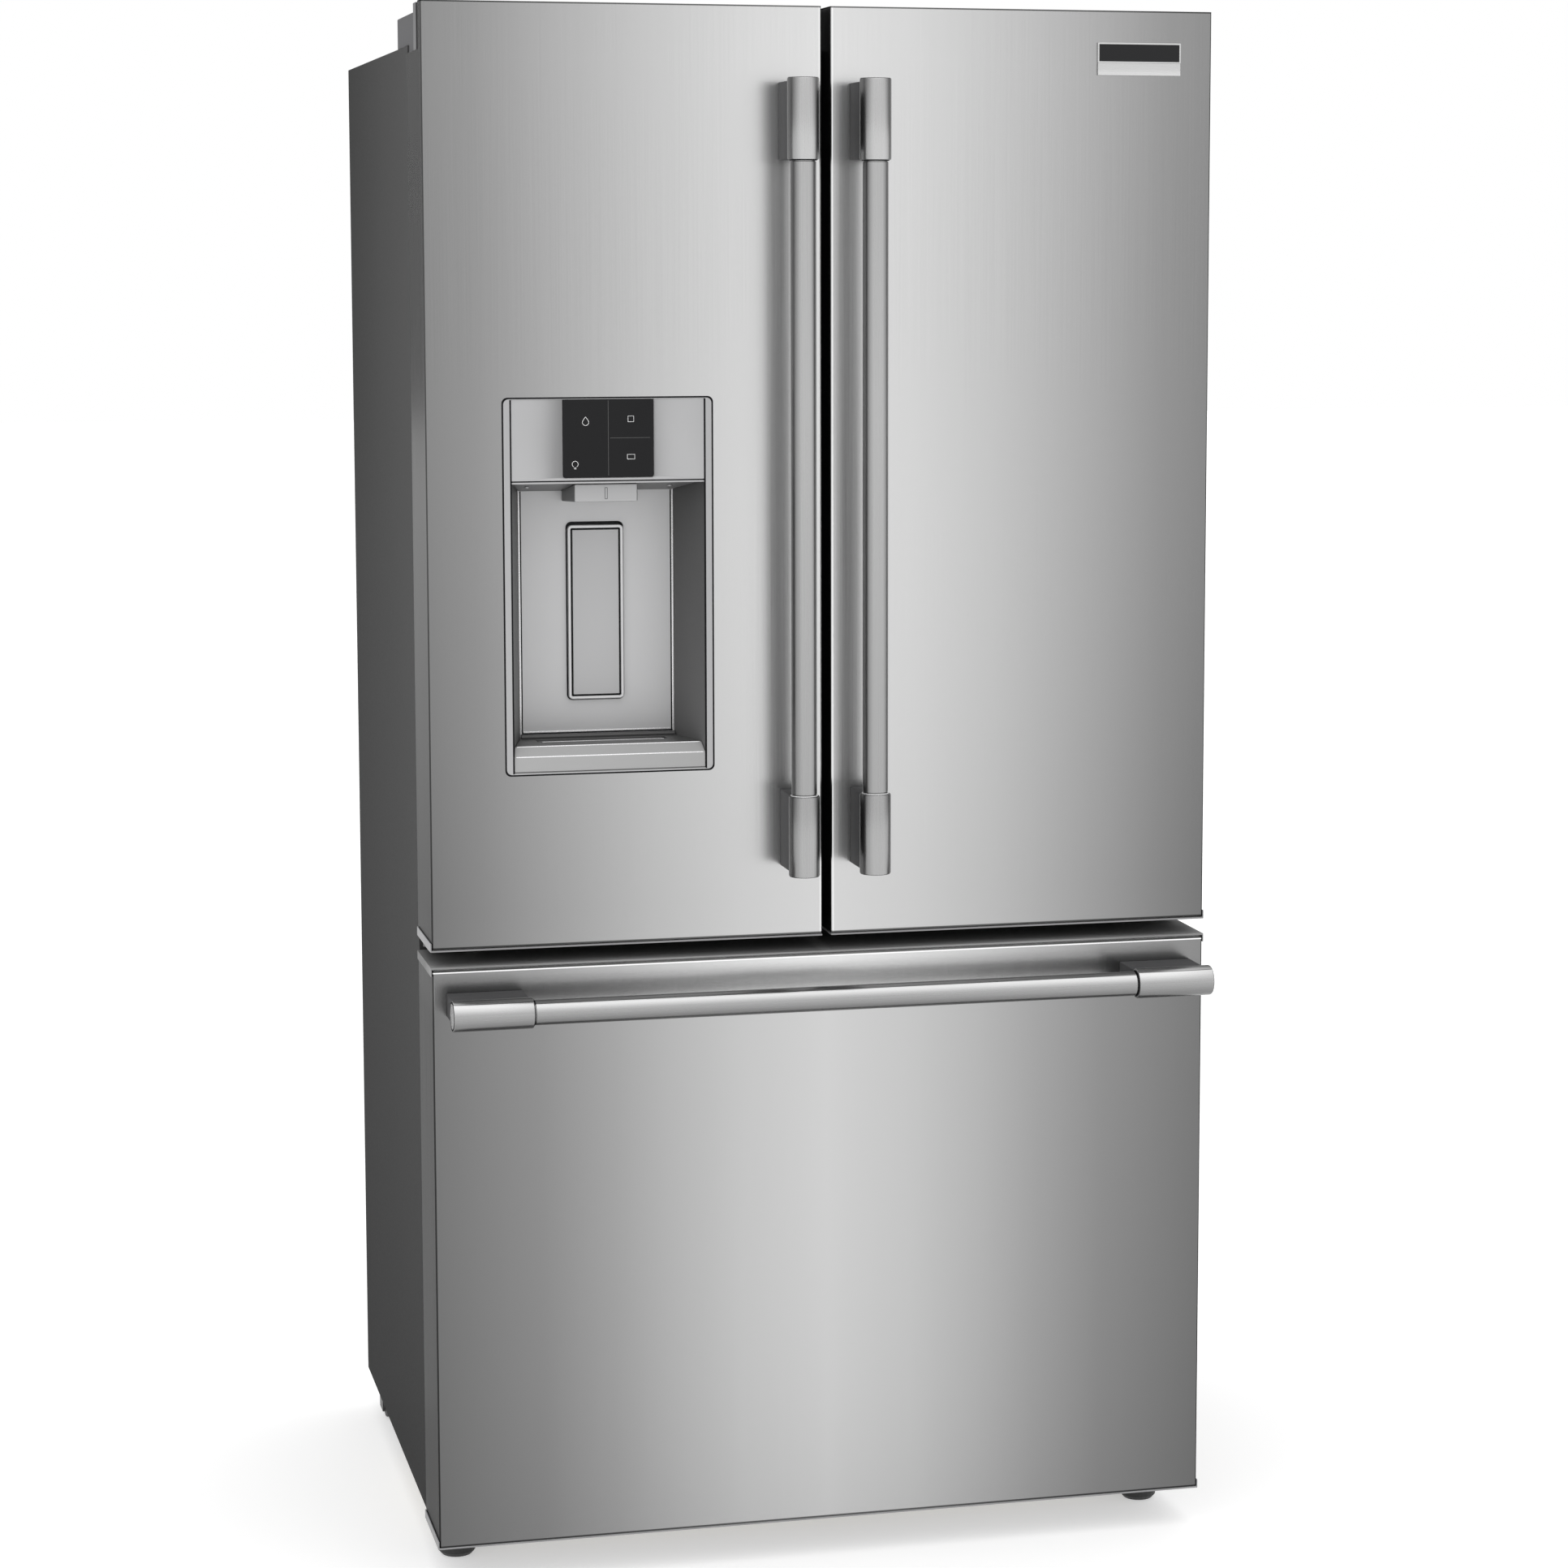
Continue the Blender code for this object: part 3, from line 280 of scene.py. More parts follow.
def graded(name, low, high, limits, roughness, axis="Z", gloss=0.12, along_y=None):
    """Paint or plastic painted with shade, from low to high between two places along an axis.

    along_y is (start, end), (level at the start, level at the end) of a factor from front to back.
    """
    look = Look(name)
    own = look.coords("Object")
    base = look.ramp(look.map(look.axis(own, axis), limits), [(0.0, low), (1.0, high)])
    if along_y:
        base = look.times(base, look.map(look.axis(own, "Y"), *along_y))
    tone = look.ramp(look.noise(3.0), [(STREAKS[0], 0.95), (STREAKS[1], 1.0)])
    look.shade(Base_Color=look.times(base, tone), Specular_IOR_Level=gloss)
    return look.finish(look.noise(380.0), SPECKS, at(roughness, -0.03, 0.05), 0.10, 0.0002)


def clear(name, colour, roughness):
    """Clear moulded plastic or glass."""
    look = Look(name)
    haze = look.noise(14.0)
    light = tuple(min(1.0, channel + 0.06) for channel in colour)
    look.shade(Base_Color=look.mix(haze, colour, light), Transmission_Weight=0.9, IOR=1.35,
               Roughness=look.map(haze, SPECKS, at(roughness, 0, 0.06)))
    return look.mat


# ---- camera and light ----
SENSOR = 36.0  # millimetres, like LENS
LENS = 86.784
SHIFT = (-0.04865, -0.06004)
CAMERA_OFFSET = Vector((-0.99456, -4.14439, 1.50877))  # from the floor under the fronts' middle
CAMERA_YAW = 0.24450
CAMERA_PITCH = 0.11520
# Grey levels of the surround, from behind the refrigerator (0) to in front of it (1).
FRONT_LIGHT = [(0.0, 0.30), (0.30, 0.33), (0.50, 0.50), (0.75, 0.90), (0.88, 1.0), (1.0, 1.0)]
OVERHEAD = (1.75, 1.75, 1.75)
OVERHEAD_SPAN = (0.45, 0.95)  # the surround turns to OVERHEAD between these heights
FLOOR_SIZE = 30.0
FLOOR_DROP = 0.0005  # the floor lies this far under the feet


def build_camera():
    """Camera at the viewing angle of the studio picture."""
    data = bpy.data.cameras.new("camera")
    data.sensor_width = SENSOR
    data.lens = LENS
    data.shift_x, data.shift_y = SHIFT
    camera = link("camera", data)
    camera.location = CAMERA_OFFSET + Vector((0, FACE, 0))
    level = math.cos(CAMERA_PITCH)
    way = Vector((math.sin(CAMERA_YAW) * level, math.cos(CAMERA_YAW) * level,
                  -math.sin(CAMERA_PITCH)))
    camera.rotation_mode = "QUATERNION"
    camera.rotation_quaternion = way.to_track_quat("-Z", "Y")
    bpy.context.scene.camera = camera


def build_studio():
    """White surround that is bright in front and overhead, darker at the sides and behind."""
    scene = bpy.context.scene
    scene.view_settings.view_transform = "Standard"
    scene.world = bpy.data.worlds.new("studio")
    scene.world.use_nodes = True
    graph = Graph(scene.world.node_tree)
    graph.nodes.clear()
    way = graph.coords("Generated")
    facing = graph.node("VectorMath", {0: way, 1: (0.0, -1.0, 0.0)}, operation="DOT_PRODUCT")
    front = graph.ramp(graph.map(facing.outputs["Value"], (-1.0, 1.0)), FRONT_LIGHT)
    above = graph.map(graph.axis(way, "Z"), OVERHEAD_SPAN)
    light = graph.node("Background", {"Color": graph.mix(above, front, OVERHEAD)})
    backdrop = graph.node("Background", {"Color": (1, 1, 1)})
    seen = graph.node("LightPath", {}).outputs["Is Camera Ray"]
    choice = graph.node("MixShader", {0: seen, 1: light.outputs[0], 2: backdrop.outputs[0]})
    graph.node("OutputWorld", {"Surface": choice.outputs[0]})


def build_floor():
    """Pale floor that glows a little, so that it is white beyond the object's soft shadow."""
    bm = bmesh.new()
    bmesh.ops.create_grid(bm, x_segments=4, y_segments=4, size=FLOOR_SIZE)
    floor = link("floor", mesh_from(bm, "floor"))
    look = Look("floor")
    look.shade(Base_Color=(0.66, 0.66, 0.66), Roughness=0.9, Specular_IOR_Level=0.0,
               Emission_Color=(1, 1, 1), Emission_Strength=0.45)
    floor.data.materials.append(look.mat)
    floor.location.z = -FLOOR_DROP


# ---- shapes ----
SHARP_FACES = math.radians(35)  # shading breaks where two faces meet at more than this
SHARP_EDGES = math.radians(30)  # edges sharper than this are rounded
WELD = 0.00002


def mesh_from(bm, name):
    """Turn a bmesh into mesh data."""
    bmesh.ops.recalc_face_normals(bm, faces=bm.faces)
    mesh = bpy.data.meshes.new(name)
    bm.to_mesh(mesh)
    bm.free()
    return mesh


def attach(obj, look, body, replaces=()):
    """Give a piece its look and let it ride on its body."""
    obj.data.materials.append(LOOKS[look])
    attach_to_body(obj, body)
    if replaces:
        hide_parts(*replaces)
    return obj


def place(name, bm, look, body, replaces=(), smooth=True):
    """Make a piece of a bmesh."""
    obj = link(name, mesh_from(bm, name))
    if smooth:
        obj.data.shade_smooth()
        obj.data.set_sharp_from_angle(angle=SHARP_FACES)
    return attach(obj, look, body, replaces)


def box_bm(x, y, z, radius=0.0, segments=3, axes=(0, 1, 2)):
    """A box between limits; the edges along the given axes are rounded."""
    low, high = (Vector(corner) for corner in zip(x, y, z))
    bm = bmesh.new()
    bmesh.ops.create_cube(bm, size=1.0)
    for vert in bm.verts:
        vert.co = vert.co * (high - low) + (low + high) / 2
    if radius:
        chosen = []
        for edge in bm.edges:
            way = edge.verts[0].co - edge.verts[1].co
            if any(abs(way[axis]) > 0.999 * way.length for axis in axes):
                chosen.append(edge)
        bmesh.ops.bevel(bm, geom=chosen, offset=radius, segments=segments, profile=0.5,
                        affect="EDGES", clamp_overlap=True)
    return bm


def block(name, limits, look, body, slot, replaces=(), radius=0.001, **rounding):
    """A rounded box as its own piece."""
    return place(name, box_bm(*limits, radius, **rounding), look, body, replaces)


def wedge_bm(near_y, near, far_y, far):
    """A block between two rectangles (x0, x1, z0, z1), one at near_y and one at far_y."""
    bm = bmesh.new()
    bmesh.ops.create_cube(bm, size=1.0)
    for vert in bm.verts:
        x0, x1, z0, z1 = far if vert.co.y > 0 else near
        vert.co = Vector((x1 if vert.co.x > 0 else x0, far_y if vert.co.y > 0 else near_y,
                          z1 if vert.co.z > 0 else z0))
    return bm


def ring_bm(*loops):
    """Faces from each loop (y, [(x, z), ...]) to the next, and from the last to the first."""
    bm = bmesh.new()
    rings = [[bm.verts.new((x, y, z)) for x, z in points] for y, points in loops]
    for first, second in zip(rings, rings[1:] + rings[:1]):
        for step in range(len(first)):
            after = (step + 1) % len(first)
            bm.faces.new((first[step], first[after], second[after], second[step]))
    return bm


def outline(rect, corner=0, segments=0):
    """Points round a rectangle (x0, x1, z0, z1) with plain or round corners."""
    x0, x1, z0, z1 = rect
    points = []
    for x, z, start in ((x0, z0, 180), (x1, z0, 270), (x1, z1, 0), (x0, z1, 90)):
        cx = x + corner if x == x0 else x - corner
        cz = z + corner if z == z0 else z - corner
        for step in range(segments + 1):
            angle = math.radians(start + 90 * step / max(segments, 1))
            points.append((cx + corner * math.cos(angle), cz + corner * math.sin(angle)))
    return points


def sleeve_bm(near_y, near, far_y, far, wall):
    """Four splayed walls round an opening that goes from one rectangle to another."""
    return ring_bm((near_y, outline(near)), (far_y, outline(far)),
                   (far_y, outline(inset(far, -wall))), (near_y, outline(inset(near, -wall))))


LEAST_CORNER = 0.0004


def frame_bm(outer, inner, near, far, radius, segments=4):
    """A flat frame between two rectangles (x0, x1, z0, z1), from near to far in y."""
    outside = outline(outer, max(radius, LEAST_CORNER), segments)
    inner_corner = max(radius - abs(outer[0] - inner[0]), LEAST_CORNER)
    inside = outline(inner, inner_corner, segments)
    return ring_bm((near, outside), (far, outside), (far, inside), (near, inside))


def lathe_bm(profile, centre, axis, steps=64):
    """A turned solid: profile is (radius, height along the axis)."""
    bm = bmesh.new()
    turn = Vector(axis).to_track_quat("Z", "Y").to_matrix()
    rings = []
    for radius, height in profile:
        angles = [2 * math.pi * step / steps for step in range(steps if radius else 1)]
        around = [Vector((radius * math.cos(angle), radius * math.sin(angle), height))
                  for angle in angles]
        rings.append([bm.verts.new(turn @ local + Vector(centre)) for local in around])
    for first, second in zip(rings, rings[1:]):
        for step in range(steps):
            after = (step + 1) % steps
            corners = dict.fromkeys((first[step % len(first)], first[after % len(first)],
                                     second[after % len(second)], second[step % len(second)]))
            if len(corners) > 2:
                bm.faces.new(tuple(corners))
    for ring in (rings[0], rings[-1]):
        if len(ring) > 1:
            bm.faces.new(ring)
    return bm


def cut(obj, *shapes):
    """Subtract shapes from a piece and bake the result."""
    cutters = [link("cutter", mesh_from(bm, "cutter")) for bm in shapes]
    for cutter in cutters:
        step = obj.modifiers.new("cut", "BOOLEAN")
        step.operation = "DIFFERENCE"
        step.object = cutter
    bpy.context.view_layer.update()
    graph = bpy.context.evaluated_depsgraph_get()
    baked = bpy.data.meshes.new_from_object(obj.evaluated_get(graph))
    obj.modifiers.clear()
    obj.data = baked
    for cutter in cutters:
        bpy.data.objects.remove(cutter, do_unlink=True)


def round_edges(obj, width, segments=3):
    """Bevel modifier on an object's sharp edges."""
    bevel = obj.modifiers.new("round", "BEVEL")
    bevel.width = width
    bevel.segments = segments
    bevel.limit_method = "ANGLE"
    bevel.angle_limit = SHARP_EDGES
    bevel.harden_normals = True


def dress(nodes, mat, width=0.0, segments=2):
    """Give kept CAD nodes a material and softened edges."""
    for node in nodes:
        obj = NODES[node]
        for slot in obj.material_slots:
            slot.material = mat
        weld = obj.modifiers.new("weld", "WELD")
        weld.merge_threshold = WELD
        if width:
            round_edges(obj, width, segments)


# ---- handles ----
EDGE = 0.0016  # rounding at the ends of a handle mount
RELIEF_DEPTH = 0.0012  # a tube's ends are turned down by this much
BRACKET_HALF = 0.0135
BRACKET_INSET = 0.003  # from the mount's closed end
BRACKET_END = 0.001  # from the mount's other end


def bar_profile(radius, length):
    """Profile of a handle tube, its ends turned down a little."""
    least = radius - RELIEF_DEPTH
    shoulder = 1.5 * RELIEF_DEPTH
    return [(0, 0), (least, 0), (least, RELIEF_DEPTH), (radius, shoulder), (radius, length / 2),
            (radius, length - shoulder), (least, length - RELIEF_DEPTH), (least, length),
            (0, length)]


def mount_profile(radius, length):
    """Profile of a handle mount: rounded at both ends, a shallow disc in the closed one."""
    inner = radius - EDGE
    bend = EDGE * 0.3
    disc = length - 0.0004
    return [(0, 0), (inner, 0), (radius - bend, bend), (radius, EDGE), (radius, length - EDGE),
            (radius - bend, length - bend), (inner, length), (inner - 0.002, length),
            (inner - 0.0024, disc), (0, disc)]


def build_handle(body, bar_node, mounts, axis):
    """Tube, two turned end mounts and their dark brackets; axis is 2 upright and 0 level."""
    low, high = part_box(bar_node)
    centre = (low + high) / 2
    radius = min(high - low) / 2
    kind = "" if axis == 2 else "_level"
    way = Vector((axis == 0, 0, axis == 2))
    start = centre.copy()
    start[axis] = low[axis]
    bar = lathe_bm(bar_profile(radius, high[axis] - low[axis]), start, way, 96)
    place(bar_node + "_fine", bar, "bar" + kind, body, [bar_node])
    for node, sign in mounts:
        low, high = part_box(node)
        cap = (high[2 - axis] - low[2 - axis]) / 2
        base = Vector((centre.x, low.y + cap, centre.z))
        base[axis] = low[axis] if sign > 0 else high[axis]
        reach = high[axis] - low[axis]
        mount = lathe_bm(mount_profile(cap, reach), base, way * sign, 96)
        place(node + "_fine", mount, "mount" + kind, body, [node])
        # joint ring: painted highlight at an upright handle's bottom mount, painted shade
        # elsewhere
        shoulder = "highlight_paint" if axis == 2 and sign < 0 else "line"
        build_rings(node, body, base, way * sign, reach, (radius, cap), shoulder)
        build_bracket(node, body, axis, sign, cap)


def build_rings(node, body, base, way, reach, radii, shoulder):
    """Painted ring where the tube enters the mount, and a painted dark edge round its closed end.
    """
    tube, cap = radii
    rings = {"joint": (shoulder, at(tube, -0.0005, 0.0010), (-0.0008, 0.0004)),
             "end": ("line", at(cap, -0.0030, -0.0009), (reach - 0.0006, reach))}
    for name, (look, (r0, r1), (h0, h1)) in rings.items():
        profile = [(r0, h0), (r1, h0), (r1, h1), (r0, h1), (r0, h0)]
        place(f"{node}_{name}", lathe_bm(profile, base, way), look, body)


def build_bracket(node, body, axis, sign, cap):
    """Dark block that carries a mount from the front."""
    limits = list(spans(node))
    across = 2 - axis
    limits[across] = about(sum(limits[across]) / 2, BRACKET_HALF)
    limits[1] = (limits[1][0] + cap, limits[1][1])
    ends = (BRACKET_END, BRACKET_INSET)[::sign]
    limits[axis] = (limits[axis][0] + ends[0], limits[axis][1] - ends[1])
    block(node + "_bracket", limits, "bracket", body, "handle_steel", radius=0.0012)


# ---- dispenser ----
HOUSING = spans("dispenser_housing")
FASCIA = spans("dispenser_fascia")
DISPLAY = spans("dispenser_display")
PADDLE = spans("dispenser_paddle")
TRAY = spans("drip_tray")
SPOUT = spans("dispenser_spout")
BAY_X = shrink(HOUSING[0], 0.0078)  # between the bezel's upright strips
BACK = SPOUT[1][1]  # the plane of the recess's back
CEILING = FASCIA[2][0] - 0.0021
DEPTH = 0.085  # of the recess
SPLAY = 0.0200  # the side walls come in by this much over that depth
SLOPE = 0.0147  # the ceiling comes down by this much
NEAR = (*BAY_X, TRAY[2][0], CEILING)  # the recess's front and back, as (x0, x1, z0, z1)
FAR = (*shrink(BAY_X, SPLAY), TRAY[2][0], CEILING - SLOPE)
LINE = 0.0018  # width of the painted shade lines round panels
PANEL = 0.0022  # the ceiling's lighter panel stays this far inside it
PADDLE_X = about(sum(PADDLE[0]) / 2, 0.03195)  # the paddle inside its pivot pins
PADDLE_ROOM = (shrink(PADDLE_X, -0.0010), (PADDLE[2][0] - 0.0012, PADDLE[2][1] + 0.0034))
TRAY_CHAMFER = 0.0105
TRAY_RISE = 0.0045  # height of the rounded step along the tray's rear edge
THIN = {"radius": 0.0001, "segments": 1}


def door_piece(name, bm, look, replaces=()):
    """A piece that rides on the left door."""
    return place(name, bm, look, "left_door", replaces)


def door_block(name, x, y, z, look, slot="silver_plastic", **rounding):
    """A rounded box that rides on the left door."""
    return block(name, (x, y, z), look, "left_door", slot, **rounding)


def door_line(name, x, y, z):
    """A thin dark line of painted shade that rides on the left door."""
    return door_block(name, x, y, z, "line", "black_plastic", **THIN)


def build_dispenser():
    """Recess, bezel, back plate, fascia, display, spout, paddle and tray of the left door."""
    recess = door_piece("dispenser_recess", sleeve_bm(FACE + 0.0004, NEAR, BACK, FAR, 0.0018),
                        "recess", replaces=["dispenser_housing"])
    round_edges(recess, 0.0004, 2)
    build_ceiling()
    build_panel_lines()
    build_bezel()
    build_back_plate()
    build_fascia()
    build_display_marks()
    build_spout()
    build_paddle()
    build_tray()


def build_ceiling():
    """Lighter panel under the recess's ceiling, with a small screw on each side."""
    near, far = ((*shrink(rect[:2], PANEL), *at(rect[3], -0.0010, -0.0002))
                 for rect in (NEAR, FAR))
    door_piece("recess_ceiling", wedge_bm(FACE + 0.004, near, BACK - 0.001, far), "ceiling")
    y = (FACE + BACK) / 2
    z = (NEAR[3] + FAR[3]) / 2 - 0.0010
    profile = [(0, 0), (0.0026, 0), (0.0026, 0.0006), (0.0018, 0.0012), (0, 0.0012)]
    for name, x in (("left", FAR[0] + 0.004), ("right", FAR[1] - 0.012)):
        door_piece(f"recess_screw_{name}", lathe_bm(profile, (x, y, z), (0, 0, -1), 20), "edge")


def build_panel_lines():
    """Painted shade line under the fascia, painted highlight and shade at the plate's foot."""
    x = shrink(BAY_X, 0.0004)
    front = FASCIA[1][0]
    door_line("fascia_line", x, at(front, -0.0001, 0.0020), about(CEILING, 0.0006))
    door_block("fascia_lip", x, at(front, 0.0001, 0.0024),
               at(CEILING, -0.0028, -0.0007), "fascia", radius=0.0004)
    top = TRAY[2][1]
    foot = top + TRAY_RISE
    y = at(BACK, -0.0018, -0.0005)
    door_block("back_plate_foot", shrink(FAR[:2], 0.004), y, at(foot, 0.0012, 0.0034),
               "highlight_paint", radius=0.0006)
    door_line("back_plate_foot_line", shrink(FAR[:2], 0.002), y, at(foot, 0.0001, 0.0012))
    # the tray's rise takes the tray's painted shade
    door_block("tray_rise", shrink(FAR[:2], 0.001), (BACK - 2 * TRAY_RISE, BACK - 0.0004),
               (top - 0.0010, foot), "tray", radius=0.0030, segments=4, axes=(0,))


def build_bezel():
    """Thin frame round the recess, with painted shade lines at its edges and against the door."""
    x, y, z = HOUSING
    outer = (*x, *z)
    inner = (*BAY_X, z[0] + 0.0015, z[1] - 0.0006)
    bezel = door_piece("dispenser_bezel", frame_bm(outer, inner, y[0], FACE + 0.0042, 0.006, 6),
                       "bezel")
    round_edges(bezel, 0.0009)
    gap = frame_bm(inset(outer, -LINE), inset(outer, 0.0002), FACE - 0.0003, FACE + 0.0008,
                   0.0066, 6)
    door_piece("dispenser_gap", gap, "line")
    for name, edge in zip(SIDES, BAY_X):
        door_line(f"bezel_line_{name}", about(edge, LINE / 2), at(y[0], -0.0001, 0.0020),
                  shrink(z, 0.0008))


def build_back_plate():
    """Silver plate at the back of the recess; painted highlight and shade lines at its sides."""
    x, z = PADDLE_ROOM
    plate = door_piece("dispenser_back_plate",
                       box_bm(FAR[:2], at(BACK, -0.0006, 0.0014), FAR[2:]), "plate")
    cut(plate, box_bm(x, about(BACK, 0.02), z, 0.006, 5, (1,)))
    round_edges(plate, 0.0005, 2)
    bm = box_bm(x, at(BACK, 0.0016, 0.0210), z, 0.006, 5, (1,))
    for face in [face for face in bm.faces if face.normal.y < -0.9]:
        bm.faces.remove(face)
    pocket = door_piece("paddle_pocket", bm, "dark")
    wall = pocket.modifiers.new("wall", "SOLIDIFY")
    wall.thickness = 0.001
    wall.offset = 1.0
    for side, edge in zip(SIDES.values(), FAR[:2]):
        door_block(f"back_plate_edge_{side + 1}", at(edge, 0, -side * 0.0024),
                   at(BACK, -0.0016, -0.0005), FAR[2:], "highlight_paint", radius=0.0005)
        door_line(f"back_plate_line_{side + 1}", at(edge, -side * 0.0024, -side * 0.0038),
                  at(BACK, -0.0010, -0.0004), (FAR[2], FAR[3] - 0.0014))


def build_fascia():
    """Silver panel with a black display let into it."""
    front = FASCIA[1][0]
    panel = box_bm(shrink(BAY_X, 0.0003), FASCIA[1], (CEILING + 0.0001, FASCIA[2][1] - 0.0002),
                   0.0009)
    fascia = door_piece("dispenser_fascia_fine", panel, "fascia", replaces=["dispenser_fascia"])
    x, _, z = DISPLAY
    cut(fascia, box_bm(shrink(x, -0.0004), at(front, -0.01, 0.0029),
                       (z[0] - 0.0004, z[1] + 0.01), 0.003, 4, (1,)))
    display = door_piece("dispenser_display_fine", box_bm(*DISPLAY, 0.0028, 5, (1,)), "display",
                         ["dispenser_display"])
    round_edges(display, 0.0004, 2)


def build_display_marks():
    """Dividing lines and plain icons: a lamp, a drop and two ice shapes."""
    (x0, x1), (front, _), z = DISPLAY
    middle = (x0 + x1) / 2
    half_z = sum(z) / 2
    y = at(front, -0.00005, 0.00007)
    door_block("display_divider", about(middle, 0.0002), y, shrink(z, 0.002), "faint",
               "display_glass", radius=0)
    door_block("display_divider_level", (middle + 0.002, x1 - 0.004), y, about(half_z, 0.0002),
               "faint", "display_glass", radius=0)
    lamp = Vector((x0 + 0.0135, y[0], z[0] + 0.0150))
    stroke("lamp_glass", arc(lamp, 0.0034, -60, 300, 12))
    for index, under in enumerate((0.0040, 0.0052)):
        stroke(f"lamp_base_{index}", [lamp + Vector((x, 0, -under)) for x in about(0, 0.0012)])
    drop = Vector((x0 + 0.0255, y[0], z[1] - 0.026))
    tip = drop + Vector((0, 0, 0.0060))
    stroke("water_icon", [tip, *arc(drop, 0.0036, 30, -240, 10), tip])
    for index, (width, height, way) in enumerate(((0.0032, 0.0032, 1), (0.0042, 0.0026, -1))):
        centre = Vector((middle + 0.0255, y[0], half_z + 0.021 * way))
        stroke(f"ice_icon_{index}", [centre + Vector((width * a, 0, height * b)) for a, b
                                     in ((-1, -1), (1, -1), (1, 1), (-1, 1), (-1, -1))])


def arc(centre, radius, start, sweep, steps):
    """Points along an arc on the display, its angles in degrees."""
    angles = [math.radians(start + sweep * step / steps) for step in range(steps + 1)]
    return [centre + Vector((math.cos(angle), 0, math.sin(angle))) * radius for angle in angles]


def stroke(name, points):
    """A thin raised line on the display."""
    curve = bpy.data.curves.new(name, "CURVE")
    curve.dimensions = "3D"
    curve.bevel_depth = 0.00028
    curve.bevel_resolution = 1
    curve.use_fill_caps = True
    spline = curve.splines.new("POLY")
    spline.points.add(len(points) - 1)
    for target, source in zip(spline.points, points):
        target.co = (*source, 1.0)
    attach(link(name, curve), "mark", "left_door")


def build_spout():
    """Spout housing, narrower in front, with a small slot mark and an open chute."""
    x, y, z = SPOUT
    front = (*shrink(x, 0.004), z[0] + 0.003, z[1] - 0.0004)
    rear = (*x, z[0], z[1] - 0.0110)
    spout = door_piece("dispenser_spout_fine", wedge_bm(y[0], front, y[1], rear), "spout",
                       replaces=["dispenser_spout"])
    middle = sum(x) / 2
    cut(spout, box_bm(about(middle, 0.0217), (y[0] + 0.016, y[1] - 0.010),
                      at(z[0], -0.01, 0.009), 0.004, 3, (2,)))
    # the spout's sides take the darker ceiling look, as painted shade
    spout.data.materials.append(LOOKS["ceiling"])
    for face in spout.data.polygons:
        face.material_index = int(abs(face.normal.x) > 0.6)
    round_edges(spout, 0.0016)
    mark = (*about(middle, 0.0016), z[0] + 0.006, z[1] - 0.0045)
    door_piece("spout_mark", frame_bm(mark, inset(mark, 0.0006), y[0] - 0.0002, y[0] + 0.0004,
                                      LEAST_CORNER), "dark")


def build_paddle():
    """Paddle: a rounded rim, a painted shade line and an inner plate, on the pivot's body."""
    body = "dispenser_paddle"
    front = PADDLE[1][0]
    outer = (*PADDLE_X, *PADDLE[2])
    bm = frame_bm(outer, inset(outer, 0.0036), front, front + 0.0055, 0.005, 6)
    rim = place("paddle_rim", bm, "edge", body, ["dispenser_paddle"])
    round_edges(rim, 0.0012)
    plate = inset(outer, 0.0055)
    block("paddle_plate", (plate[:2], at(front, 0.0004, 0.0050), plate[2:]), "paddle",
          body, "silver_plastic", radius=0.0006)
    rest = inset(outer, 0.0020)
    block("paddle_back", (rest[:2], at(front, 0.0018, 0.0052), rest[2:]), "line", body,
          "black_plastic", radius=0.0008)
    pivot_z = PADDLE[2][1] - 0.0062
    pivot_y = front + 0.016
    length = PADDLE[0][1] - PADDLE[0][0]
    pin = lathe_bm([(0, 0), (0.0025, 0), (0.0025, length), (0, length)],
                   (PADDLE[0][0], pivot_y, pivot_z), (1, 0, 0), 24)
    place("paddle_pin", pin, "dark", body)
    block("paddle_head", (rest[:2], (front + 0.005, pivot_y + 0.003),
                          at(pivot_z, -0.006, 0.004)), "dark", body, "silver_plastic",
          radius=0.0015)


def build_tray():
    """Drip tray with a chamfered lip, a ribbed well and a raised rear edge."""
    x, y, z = TRAY
    near = shrink(BAY_X, 0.0007)
    far = shrink(near, SPLAY * (y[1] - y[0]) / DEPTH)
    bm = wedge_bm(y[0], (*near, *z), y[1], (*far, *z))
    front_top = [edge for edge in bm.edges if all(vert.co.y < sum(y) / 2 and
                                                  vert.co.z > sum(z) / 2 for vert in edge.verts)]
    bmesh.ops.bevel(bm, geom=front_top, offset=TRAY_CHAMFER, segments=1, affect="EDGES")
    tray = door_piece("drip_tray_fine", bm, "tray", replaces=["drip_tray"])
    lip = z[1] - TRAY_CHAMFER
    # bright strips along the lip, the crest and the well's edge are painted highlights
    door_block("tray_lip", shrink(BAY_X, 0.0030), at(y[0], -0.0001, 0.0012),
               at(lip, -0.0008, 0.0006), "highlight_paint", radius=0.0005)
    crest = y[0] + TRAY_CHAMFER
    door_block("tray_crest", shrink(BAY_X, 0.0050), at(crest, -0.0006, 0.0008),
               at(z[1], -0.0010, 0.0003), "highlight_paint", radius=0.0004)
    middle = sum(x) / 2
    cut(tray, box_bm(about(middle, 0.074), at(y[0], 0.046, 0.070),
                     at(z[1], -0.0035, 0.01), 0.005, 4, (2,)))
    round_edges(tray, 0.0008)
    door_block("tray_well_edge", about(middle, 0.070), at(y[0], 0.0450, 0.0461),
               at(z[1], -0.0010, 0.0004), "highlight_paint", radius=0.0003)
    for index in range(3):
        rib = y[0] + 0.0505 + 0.0065 * index
        door_block(f"tray_rib_{index}", about(middle, 0.071), (rib, rib + 0.0028),
                   at(z[1], -0.0034, -0.0012), "tray", radius=0.0008)


